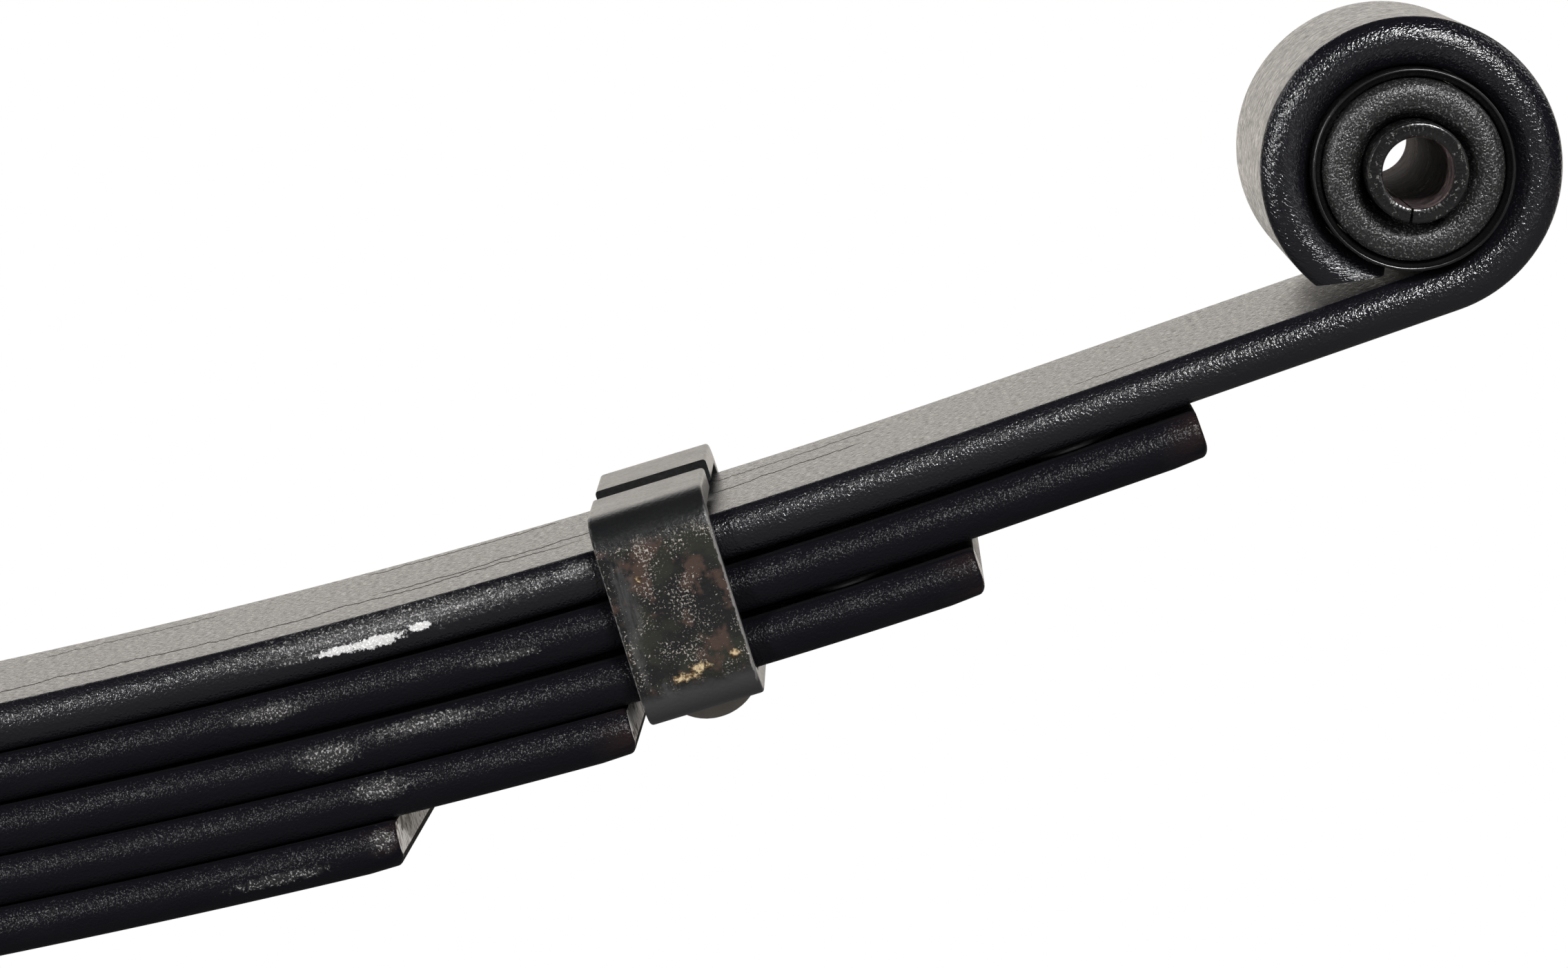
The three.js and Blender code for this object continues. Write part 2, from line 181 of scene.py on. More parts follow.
# ---- mesh helpers ----


def new_object(name, mesh):
    piece = bpy.data.objects.new(name, mesh)
    bpy.context.scene.collection.objects.link(piece)
    return piece


def mesh_from(name, vertices, faces, sharp_degrees=38):
    """A mesh with outward faces, smooth except across sharp corners."""
    mesh = bpy.data.meshes.new(name)
    mesh.from_pydata([tuple(v) for v in vertices], [], faces)
    work = bmesh.new()
    work.from_mesh(mesh)
    bmesh.ops.recalc_face_normals(work, faces=work.faces)
    work.to_mesh(mesh)
    work.free()
    mesh.shade_smooth()
    mesh.set_sharp_from_angle(angle=math.radians(sharp_degrees))
    return mesh


def tube_faces(rows, count, closed_rows=False):
    """Quads between consecutive rings of count vertices, with both ends capped unless they meet."""
    faces = []
    for row in range(rows if closed_rows else rows - 1):
        following = (row + 1) % rows
        for i in range(count):
            j = (i + 1) % count
            faces.append((row * count + i, row * count + j, following * count + j, following * count + i))
    if not closed_rows:
        last = (rows - 1) * count
        faces.append(tuple(range(count)))
        faces.append(tuple(range(last + count - 1, last - 1, -1)))
    return faces


def spun(name, profile, centre, segments=160):
    """A ring about the Y axis through centre, from a closed loop of (radius, y) pairs."""
    vertices = []
    for step in range(segments):
        angle = 2 * math.pi * step / segments
        for radius, y in profile:
            vertices.append(centre + Vector((radius * math.cos(angle), y, radius * math.sin(angle))))
    return mesh_from(name, vertices, tube_faces(segments, len(profile), closed_rows=True))


def rounded(points, softness, steps=3):
    """A closed outline with each corner replaced by a small curve."""
    result = []
    count = len(points)
    for i, corner in enumerate(points):
        corner = Vector(corner)
        before = (Vector(points[i - 1]) - corner).normalized() * softness
        after = (Vector(points[(i + 1) % count]) - corner).normalized() * softness
        for step in range(steps + 1):
            t = step / steps
            result.append(corner + before * (1 - t) ** 2 + after * t**2)
    return result


def store(mesh, name, values, kind="FLOAT"):
    """Keeps a value per vertex under a name that materials can read."""
    attribute = mesh.attributes.new(name, kind, "POINT")
    key = "vector" if kind == "FLOAT_VECTOR" else "value"
    attribute.data.foreach_set(key, np.asarray(values, np.float32).ravel())


# ---- leaves ----

ACROSS_STEPS = 8
EDGE_STEPS = 14
ALONG_STEP = 5 * MM
CURL_STEPS = 96
CURL_SWEEP = math.radians(325)
CORNER_SAG_ACROSS = 0.12 * CORNER_SOFTNESS
CORNER_SAG_DOWN = 0.06 * CORNER_SOFTNESS

# The lower leaves are sheared off: rolled over below, dragged up and slightly out of square.
TIP_STEPS = 6
TIP_SOFTNESS = 0.5 * MM
TIP_ROLLOVER = 1.3 * MM
TIP_SHEAR_DRAG = 0.5 * MM
TIP_SHEAR_RUN = 5 * MM
TIP_SKEWS = (0, 0, 0.005, 0.022, 0.045)
SKEW_RUN = 40 * MM

# The paint's own coordinates set the leaves this far apart across Y, so that no two look alike.
LAY_SPACING = 0.2
FAR_FROM_TIP = 0.5


def leaf_section():
    """Outline of a leaf as (y, depth, edge) triples, edge being 1 on the convex sides."""
    half = LEAF_THICKNESS / 2
    radius = (half**2 + EDGE_BULGE**2) / (2 * EDGE_BULGE)
    spread = math.asin(half / radius)
    centre = LEAF_WIDTH / 2 - radius
    soft = CORNER_SOFTNESS / radius
    flat_end = centre + radius * math.cos(spread)
    right = [(flat_end - CORNER_SOFTNESS, 0.0, 0.0)]
    right.append((flat_end - CORNER_SAG_ACROSS, CORNER_SAG_DOWN, 0.5))
    for step in range(EDGE_STEPS + 1):
        angle = (-spread + soft) + 2 * (spread - soft) * step / EDGE_STEPS
        right.append((centre + radius * math.cos(angle), half + radius * math.sin(angle), 1.0))
    right.append((flat_end - CORNER_SAG_ACROSS, LEAF_THICKNESS - CORNER_SAG_DOWN, 0.5))
    right.append((flat_end - CORNER_SOFTNESS, LEAF_THICKNESS, 0.0))
    inner = flat_end - CORNER_SOFTNESS
    flats = [inner * (1 - 2 * step / ACROSS_STEPS) for step in range(1, ACROSS_STEPS)]
    bottom = [(y, LEAF_THICKNESS, 0.0) for y in flats]
    left = [(-y, depth, edge) for y, depth, edge in reversed(right)]
    top = [(-y, 0.0, 0.0) for y in flats]
    return right + bottom + left + top


def straight_distances(leaf):
    """Distances of a leaf's stations from the middle to its tip or to its eye."""
    reach = tip_of(leaf)
    if leaf > 1:
        reach -= TIP_ROLLOVER
    steps = round(reach / ALONG_STEP)
    return [reach * step / steps for step in range(steps + 1)]


def leaf_stations(leaf):
    """Where a leaf's outline is repeated: (distance that sets its depth in the stack, distance along
    the leaf, share of the way round the eye or None, how far the tip is drawn in) for each place."""
    stations = []
    for distance in straight_distances(leaf):
        stations.append((distance, distance, None, 0.0))
    if leaf == 1:
        for step in range(1, CURL_STEPS + 1):
            stations.append((EYE_FOOT, EYE_FOOT, step / CURL_STEPS, 0.0))
        return stations
    tip = tip_of(leaf)
    for step in range(1, TIP_STEPS + 1):
        turn = math.pi / 2 * step / TIP_STEPS
        stations.append((tip, tip - TIP_ROLLOVER * (1 - math.sin(turn)), None, 1 - math.cos(turn)))
    return stations


def curl_point(turn, depth):
    """(x, z) on the eye's curl, whose end is scarfed to lie along the leaf."""
    x, z = point_below(EYE_FOOT, -EYE_BORE_RADIUS)
    radius = EYE_BORE_RADIUS + depth
    cut = EYE_SCARF_ANGLE - math.acos(min(1.0, EYE_SCARF_DISTANCE / radius))
    start = EYE_SLOPE - math.pi / 2
    angle = start + (min(EYE_CURL_END, cut) - start) * turn
    return x + radius * math.cos(angle), z + radius * math.sin(angle)


def tip_inset(y, depth, amount):
    """Where a point of the outline moves at a sheared tip: soft all round, rolled over below."""
    middle = LEAF_THICKNESS / 2
    low = max(0.0, (depth - middle) / middle)
    pull = TIP_SOFTNESS * amount
    roll = TIP_ROLLOVER * amount * low**3
    new_depth = depth + (pull if depth < middle else -pull) * abs(depth - middle) / middle - roll
    new_y = y - math.copysign(pull, y) * clamp(abs(y) / (LEAF_WIDTH / 2), 0, 1) ** 6
    return new_y, new_depth


def shear_drag(leaf, distance, depth):
    """How far the shear has pulled the lower face up near a leaf's tip."""
    if leaf == 1:
        return 0.0
    share = 1 - clamp((tip_of(leaf) - distance) / TIP_SHEAR_RUN, 0, 1)
    return TIP_SHEAR_DRAG * share**2 * depth / LEAF_THICKNESS


def leaf_half(leaf, end, side):
    """One half of a leaf, from the middle of the spring out to its eye or tip."""
    section = leaf_section()
    vertices = []
    lay = []
    edges = []
    to_tip = []
    stations = leaf_stations(leaf)
    for nominal, distance, turn, amount in stations:
        for y, depth, edge in section:
            new_y, new_depth = tip_inset(y, depth, amount) if amount else (y, depth)
            new_depth -= shear_drag(leaf, distance, new_depth)
            if turn is None:
                tip = tip_of(leaf)
                along = distance + TIP_SKEWS[leaf - 1] * y * smoothstep(distance, tip - SKEW_RUN, tip)
                x, z = point_below(along, leaf_depth(leaf, nominal) + new_depth)
            else:
                x, z = curl_point(turn, new_depth)
                along = EYE_FOOT + turn * (EYE_BORE_RADIUS + LEAF_THICKNESS / 2) * CURL_SWEEP
            vertices.append((side * x, new_y, z))
            lay.append((side * along, new_y + leaf * LAY_SPACING, new_depth))
            edges.append(edge)
            to_tip.append(FAR_FROM_TIP if leaf == 1 else tip_of(leaf) - distance)
    faces = tube_faces(len(stations), len(section))
    name = f"leaf_{leaf}_{end}"
    mesh = mesh_from(name, vertices, faces, sharp_degrees=50)
    store(mesh, "lay", lay, "FLOAT_VECTOR")
    store(mesh, "edge", edges)
    store(mesh, "to_tip", to_tip)
    mesh.materials.append(main_leaf_paint if leaf == 1 else leaf_paint)
    if leaf > 1:
        mesh.materials.append(cut_steel)
        mesh.polygons[len(faces) - 1].material_index = 1
    piece = new_object(name, mesh)
    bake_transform(piece)
    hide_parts(f"leaf_{leaf}")


# ---- node helpers ----


class Graph:
    """Short calls for building a node tree."""

    def __init__(self, tree):
        self.tree = tree

    def add(self, kind, inputs=None, **settings):
        node = self.tree.nodes.new("ShaderNode" + kind)
        for key, value in settings.items():
            setattr(node, key, value)
        for key, value in (inputs or {}).items():
            self.feed(node.inputs[key], value)
        return node

    def feed(self, socket, value):
        if isinstance(value, bpy.types.NodeSocket):
            self.tree.links.new(value, socket)
        else:
            socket.default_value = value

    def math(self, operation, first, second=0.0, third=0.0, clamp_result=False):
        node = self.add("Math", operation=operation, use_clamp=clamp_result)
        for socket, value in zip(node.inputs, (first, second, third)):
            self.feed(socket, value)
        return node.outputs[0]

    def times(self, first, second, clamp_result=False):
        return self.math("MULTIPLY", first, second, clamp_result=clamp_result)

    def larger(self, first, second):
        return self.math("MAXIMUM", first, second)

    def mix(self, factor, first, second, kind="RGBA"):
        """Mixes two colours, or two numbers if the kind is FLOAT."""
        node = self.add("Mix", data_type=kind)
        self.feed(node.inputs["Factor"], factor)
        self.feed(node.inputs["A"], first)
        self.feed(node.inputs["B"], second)
        return node.outputs["Result"]

    def blend(self, factor, first, second):
        return self.mix(factor, first, second, "FLOAT")

    def range(self, value, low, high, new_low=0.0, new_high=1.0):
        """Maps low to new_low and high to new_high, and holds the value there beyond them."""
        inputs = {
            "Value": value,
            "From Min": low,
            "From Max": high,
            "To Min": new_low,
            "To Max": new_high,
        }
        return self.add("MapRange", inputs).outputs["Result"]

    def stretch(self, vector, x, y, z):
        return self.vector("MULTIPLY", vector, (x, y, z))

    def vector(self, operation, first, second):
        return self.add("VectorMath", {0: first, 1: second}, operation=operation).outputs[0]

    def noise(self, vector, scale, detail=2.0, roughness=0.5):
        inputs = {"Vector": vector, "Scale": scale, "Detail": detail, "Roughness": roughness}
        return self.add("TexNoise", inputs).outputs["Fac"]


def make_group(name, inputs, outputs):
    """A shader node group with named sockets; returns its graph, its input and its output node."""
    tree = bpy.data.node_groups.new(name, "ShaderNodeTree")
    for socket, kind, value in inputs:
        made = tree.interface.new_socket(socket, in_out="INPUT", socket_type=kind)
        if value is not None:
            made.default_value = value
    for socket, kind in outputs:
        tree.interface.new_socket(socket, in_out="OUTPUT", socket_type=kind)
    start = tree.nodes.new("NodeGroupInput")
    end = tree.nodes.new("NodeGroupOutput")
    return Graph(tree), start, end


VECTOR = "NodeSocketVector"
FLOAT = "NodeSocketFloat"


def sprayed_skin():
    """Height of a sprayed or moulded skin: pebbles of one size over a slow unevenness."""
    g, start, end = make_group(
        "sprayed skin",
        [("Vector", VECTOR, None), ("Pebble Size", FLOAT, 0.0005), ("Unevenness", FLOAT, 0.3)],
        [("Height", FLOAT)],
    )
    scale = g.math("DIVIDE", 1.0, start.outputs["Pebble Size"])
    fine = g.noise(start.outputs["Vector"], scale, 1.5, 0.55)
    slow_scale = g.times(scale, 0.12)
    slow = g.noise(start.outputs["Vector"], slow_scale, 2.0)
    height = g.math("MULTIPLY_ADD", slow, start.outputs["Unevenness"], fine)
    g.feed(end.inputs["Height"], height)
    return g.tree


def specks():
    """Mask of separate small specks of a given size, gathered into patches."""
    g, start, end = make_group(
        "specks",
        [
            ("Vector", VECTOR, None),
            ("Speck Size", FLOAT, 0.0005),
            ("Patch Size", FLOAT, 0.02),
            ("Amount", FLOAT, 0.3),
        ],
        [("Mask", FLOAT)],
    )
    vector = start.outputs["Vector"]
    fine = g.noise(vector, g.math("DIVIDE", 1.0, start.outputs["Speck Size"]), 3.0, 0.7)
    patches = g.noise(vector, g.math("DIVIDE", 1.0, start.outputs["Patch Size"]), 3.0, 0.6)
    spread = g.times(g.range(patches, 0.4, 0.7), start.outputs["Amount"])
    limit = g.math("SUBTRACT", 0.78, g.times(spread, 0.33))
    mask = g.times(g.math("SUBTRACT", fine, limit), 12.0, clamp_result=True)
    g.feed(end.inputs["Mask"], mask)
    return g.tree


def crack_line():
    """Mask of one thin crack that wanders along X about a line through Place, sloping in Y."""
    g, start, end = make_group(
        "crack line",
        [
            ("Vector", VECTOR, None),
            ("Place", VECTOR, None),
            ("Reach", FLOAT, 0.1),
            ("Slope", FLOAT, 0.0),
            ("Width", FLOAT, 0.0006),
            ("Wander", FLOAT, 0.006),
        ],
        [("Mask", FLOAT)],
    )
    away = g.vector("SUBTRACT", start.outputs["Vector"], start.outputs["Place"])
    split = g.add("SeparateXYZ", {0: away})
    wave = g.noise(g.stretch(away, 1, 0, 0), 28.0, 6.0, 0.72)
    wave = g.times(g.math("SUBTRACT", wave, 0.5), start.outputs["Wander"])
    line = g.math("MULTIPLY_ADD", split.outputs["X"], start.outputs["Slope"], g.times(wave, 4.0))
    gap = g.math("ABSOLUTE", g.math("SUBTRACT", split.outputs["Y"], line))
    thin = g.math("SUBTRACT", 1.0, g.math("DIVIDE", gap, start.outputs["Width"]), clamp_result=True)
    beyond = g.math("DIVIDE", g.math("ABSOLUTE", split.outputs["X"]), start.outputs["Reach"])
    g.feed(end.inputs["Mask"], g.times(thin, g.range(beyond, 1.0, 0.9)))
    return g.tree


def patch():
    """Soft-edged ellipsoid mask about Place, broken up by noise."""
    g, start, end = make_group(
        "patch",
        [("Vector", VECTOR, None), ("Place", VECTOR, None), ("Reach", VECTOR, None), ("Ragged", FLOAT, 0.5)],
        [("Mask", FLOAT)],
    )
    away = g.vector("SUBTRACT", start.outputs["Vector"], start.outputs["Place"])
    share = g.vector("DIVIDE", away, start.outputs["Reach"])
    distance = g.add("VectorMath", {0: share}, operation="LENGTH").outputs["Value"]
    rough = g.math("SUBTRACT", g.noise(start.outputs["Vector"], 1000.0, 5.0, 0.75), 0.5)
    distance = g.math("MULTIPLY_ADD", rough, g.times(start.outputs["Ragged"], 4.0), distance)
    g.feed(end.inputs["Mask"], g.range(distance, 1.0, 0.55))
    return g.tree


skin_group = sprayed_skin()
speck_group = specks()
crack_group = crack_line()
patch_group = patch()


def use_group(g, tree, **inputs):
    """Places a group; an input named pebble_size feeds its socket Pebble Size."""
    node = g.tree.nodes.new("ShaderNodeGroup")
    node.node_tree = tree
    for key, value in inputs.items():
        g.feed(node.inputs[key.replace("_", " ").title()], value)
    return node


def new_material(name, **constants):
    """A material with one Principled BSDF; returns its graph and the shader node."""
    material = bpy.data.materials.new(name)
    material.use_nodes = True
    shader = material.node_tree.nodes["Principled BSDF"]
    for key, value in constants.items():
        shader.inputs[key.replace("_", " ").title().replace("Ior", "IOR")].default_value = value
    return material, Graph(material.node_tree), shader


def grey(value, warm=0.0):
    """A near-neutral colour; warm tints it towards brown, a negative value towards blue."""
    return (value * (1 + warm), value, value * (1 - warm), 1)


def bump(g, shader, height, distance, strength=1.0):
    node = g.add("Bump", {"Height": height, "Distance": distance, "Strength": strength})
    g.feed(shader.inputs["Normal"], node.outputs[0])


# ---- materials ----

BLACK_PAINT = ((0.003, 0.003, 0.005, 1), (0.007, 0.007, 0.009, 1))
# Brown of the painted reflection near the lower leaves' tips.
TIP_REFLECTION_BROWN = (0.05, 0.025, 0.02, 1)
STEEL_RUST = (0.09, 0.055, 0.035, 1)
DEEP_RUST = (0.06, 0.03, 0.018, 1)
STRAP_RUST = (0.05, 0.028, 0.02, 1)
STRAP_GREEN = (0.014, 0.015, 0.009, 1)
CHIP_BROWN = (0.12, 0.07, 0.03, 1)
CHIP_YELLOW = (0.55, 0.43, 0.26, 1)
BORE_DARK = (0.012, 0.008, 0.009, 1)
BORE_BROWN = (0.13, 0.085, 0.085, 1)
BORE_GRIT = (0.6, 0.48, 0.48, 1)
EYE_PAINT_START = EYE_FOOT - 45 * MM
EYE_PAINT_END = EYE_FOOT - 20 * MM
STRAP_SIDE = LEAF_WIDTH / 2 + CLIP_THICKNESS
STRAP_FOOT = -24.5 * MM
# Marks reach this far into the surface, so that the curve of an edge can't lose them.
MARK_DEPTH = 8 * MM


def on_near_edge(along, leaf, depth):
    """The place of a mark on the edge of a leaf that faces -Y, in the front half."""
    return (along * MM, leaf * LAY_SPACING - LEAF_WIDTH / 2 - EDGE_BULGE / 2, depth * MM)


# (distance along, leaf, depth, half length, half height) of marks on the near edges, in millimetres
WHITE_SCRAPES = (
    (430.5, 1, 4.5, 5, 0.8),
    (437, 1, 4.7, 6, 1.3),
    (444.8, 1, 4.1, 2.6, 0.9),
)
SCUFFS = (
    (440, 1, 2.4, 34, 2.6),
    (424, 1, 4.2, 6, 0.9),
    (472, 1, 2.2, 4, 1.8),
    (416.5, 2, 3.2, 7, 1.6),
    (457, 2, 3.9, 7, 1.0),
    (424, 3, 3.6, 6, 2.4),
    (441, 3, 1.9, 10, 1.5),
    (431, 4, 2.5, 5, 2.2),
    (411, 5, 4.9, 9, 1.2),
    (429, 5, 2.6, 2.5, 2.2),
)
# (distance along, across, half length, slope, width) of cracks in the main leaf's upper face, in millimetres
CRACKS = (
    (330, -16, 150, 0.04, 0.8),
    (480, -2, 45, 0.14, 0.8),
    (505, 16, 22, 0.1, 0.6),
    (450, 24, 18, 0.05, 0.6),
    (390, 20, 16, 0.06, 0.5),
    (570, -16, 9, 0.1, 0.5),
    (655, 10, 5, -0.5, 0.9),
    (668, -6, 4, 0.4, 0.8),
    (200, 8, 60, -0.04, 0.7),
    (60, -10, 50, 0.05, 0.6),
    (-180, 4, 120, 0.05, 0.8),
    (-400, -12, 110, -0.06, 0.7),
    (-520, 12, 50, 0.05, 0.7),
)


def marks_mask(g, place, marks, ragged):
    total = 0.0
    for along, leaf, depth, half_length, half_height in marks:
        spot = use_group(
            g,
            patch_group,
            vector=place,
            place=on_near_edge(along, leaf, depth),
            reach=(half_length * MM, MARK_DEPTH, half_height * MM),
            ragged=ragged,
        )
        total = g.larger(spot.outputs["Mask"], total)
    return total


def cracks_mask(g, place):
    total = 0.0
    for along, across, reach, slope, width in CRACKS:
        line = use_group(
            g,
            crack_group,
            vector=place,
            place=(along * MM, LAY_SPACING + across * MM, 0),
            reach=reach * MM,
            slope=slope,
            width=width * MM,
        )
        total = g.larger(line.outputs["Mask"], total)
    return total


def make_leaf_paint(name, shine):
    """Sprayed black paint: cracked and scoured on the flat faces, pebbled round the edges. Pale specks along
    the edges' highlight band are a painted highlight sparkle; the brown tint near the tips is a painted
    reflection.
    """
    material, g, shader = new_material(name, specular_ior_level=shine)
    place = g.add("Attribute", attribute_name="lay").outputs["Vector"]
    edge = g.add("Attribute", attribute_name="edge").outputs["Fac"]
    to_tip = g.add("Attribute", attribute_name="to_tip").outputs["Fac"]
    face = g.math("SUBTRACT", 1.0, edge, clamp_result=True)
    skin = use_group(g, skin_group, vector=place, pebble_size=0.5 * MM, unevenness=0.2).outputs["Height"]
    streaks = g.noise(g.stretch(place, 60, 700, 200), 1.0, 4.0, 0.6)
    grain = g.noise(g.stretch(place, 900, 1800, 1800), 1.0, 3.0, 0.7)
    cracks = g.times(cracks_mask(g, place), face)
    scrapes = g.range(marks_mask(g, place, WHITE_SCRAPES, 0.6), 0.25, 0.55)
    scuffs = marks_mask(g, place, SCUFFS, 0.6)
    split = g.add("SeparateXYZ", {0: place})
    depth = split.outputs["Z"]
    inner_leaf = g.range(split.outputs["Y"], 1.4 * LAY_SPACING, 1.5 * LAY_SPACING)
    # The upper part of each convex edge, where the highlight falls: pale specks are painted there as a
    # painted highlight sparkle.
    highlight_band = g.times(g.range(depth, 0.2 * MM, 1.6 * MM), g.range(depth, 4.4 * MM, 2.6 * MM))
    # shade sets how thickly the painted highlight sparkle lies: patchy, and thinner on the main leaf.
    shade = g.range(g.noise(place, 22.0, 3.0, 0.6), 0.3, 0.6, 0.35, 1.0)
    shade = g.times(shade, g.range(inner_leaf, 0.0, 1.0, 0.35, 1.0))
    dust_and_glint_specks = g.range(g.noise(place, 3200.0, 1.5, 0.6), 0.6, 0.68)
    painted_glint_mask = g.times(g.times(dust_and_glint_specks, highlight_band), g.times(shade, edge))
    grit = g.range(g.noise(place, 2600.0, 2.0, 0.7), 0.56, 0.64)
    tone = g.mix(streaks, *BLACK_PAINT)
    # Brown tint painted within a few millimetres of the lower leaves' tips: a painted reflection.
    near_tip = g.times(g.range(to_tip, 8 * MM, 0.0), g.range(streaks, 0.4, 0.6))
    tone = g.mix(g.times(near_tip, 0.25), tone, TIP_REFLECTION_BROWN)
    # Pale grey of the painted highlight sparkle along the edges.
    tone = g.mix(g.times(painted_glint_mask, 0.35), tone, grey(0.3, 0.02))
    tone = g.mix(g.times(scuffs, g.times(grit, 0.6)), tone, grey(0.55, 0.03))
    tone = g.mix(g.times(scuffs, 0.05), tone, grey(0.3, 0.05))
    tone = g.mix(g.times(scrapes, g.range(grit, 0.0, 0.3, 0.6, 1.0)), tone, grey(0.95, 0.01))
    ticks = g.range(g.noise(g.stretch(place, 260, 1100, 400), 1.0, 2.0, 0.6), 0.69, 0.74)
    cracks = g.larger(cracks, g.times(ticks, face))
    tone = g.mix(g.times(cracks, 0.9), tone, grey(0.001))
    g.feed(shader.inputs["Base Color"], tone)
    before_eye = g.range(g.math("ABSOLUTE", split.outputs["X"]), EYE_PAINT_END, EYE_PAINT_START)
    underside = g.times(g.range(depth, 3 * MM, 4 * MM), before_eye)
    hidden = g.larger(underside, inner_leaf)
    rough_face = g.blend(hidden, g.range(grain, 0.36, 0.64, 0.22, 0.5), 0.85)
    rough = g.blend(edge, rough_face, g.blend(before_eye, 0.19, 0.27))
    rough = g.larger(rough, g.times(g.larger(cracks, scrapes), 0.9))
    rough = g.larger(rough, g.times(scuffs, 0.35))
    g.feed(shader.inputs["Roughness"], rough)
    flat_height = g.math("MULTIPLY_ADD", grain, 0.35, g.times(streaks, 0.8))
    flat_height = g.math("SUBTRACT", flat_height, g.times(cracks, 3.0))
    edge_height = g.math("MULTIPLY_ADD", scrapes, 1.2, g.times(skin, 1.5))
    height = g.blend(edge, flat_height, edge_height)
    bump(g, shader, height, 0.12 * MM, 1.0)
    return material


def make_cut_steel():
    material, g, shader = new_material("cut_steel", metallic=0.2, specular_ior_level=0.4)
    place = g.add("TexCoord").outputs["Object"]
    streaks = g.noise(g.stretch(place, 900, 900, 120), 1.0, 4.0, 0.65)
    blotches = g.noise(place, 260.0, 3.0, 0.6)
    tone = g.mix(g.range(streaks, 0.38, 0.5), STEEL_RUST, grey(0.75, 0.03))
    tone = g.mix(g.range(blotches, 0.54, 0.6), tone, DEEP_RUST)
    g.feed(shader.inputs["Base Color"], tone)
    g.feed(shader.inputs["Roughness"], g.range(streaks, 0.3, 0.7, 0.45, 0.7))
    bump(g, shader, streaks, 0.3 * MM, 0.7)
    return material


def make_painted_part(name, base=0.012, pebble=0.5, rough=(0.28, 0.42), wear=0.35, warm=0.0):
    """Black paint over a small steel part, with dust specks and slow changes of tone."""
    material, g, shader = new_material(name, specular_ior_level=0.5)
    place = g.add("TexCoord").outputs["Object"]
    skin = use_group(g, skin_group, vector=place, pebble_size=pebble * MM, unevenness=0.4)
    dust_and_glint_specks = use_group(g, speck_group, vector=place, speck_size=0.3 * MM, patch_size=12 * MM, amount=wear)
    blotches = g.noise(place, 120.0, 3.0)
    tone = g.mix(blotches, grey(base * 0.6, warm), grey(base * 1.5, warm))
    tone = g.mix(g.times(dust_and_glint_specks.outputs["Mask"], 0.55), tone, grey(0.3, 0.04))
    g.feed(shader.inputs["Base Color"], tone)
    g.feed(shader.inputs["Roughness"], g.range(skin.outputs["Height"], 0.4, 0.9, *rough))
    bump(g, shader, skin.outputs["Height"], 0.1 * MM, 0.8)
    return material


# (along the leaf, height above the main leaf, half length, half height) on the strap's near side
YELLOW_CHIPS = (
    (-4.3, -6.2, 0.6, 0.8),
    (-1.6, -24.1, 2.6, 0.9),
    (1.4, -23.2, 2.2, 0.9),
    (7.4, -22.6, 1.2, 1.0),
)
GREY_STREAKS = (
    (-7.0, -9.0, 2.2, 9.0),
    (-8.0, -17.0, 1.2, 7.0),
    (-4.5, -25.0, 2.5, 2.0),
)


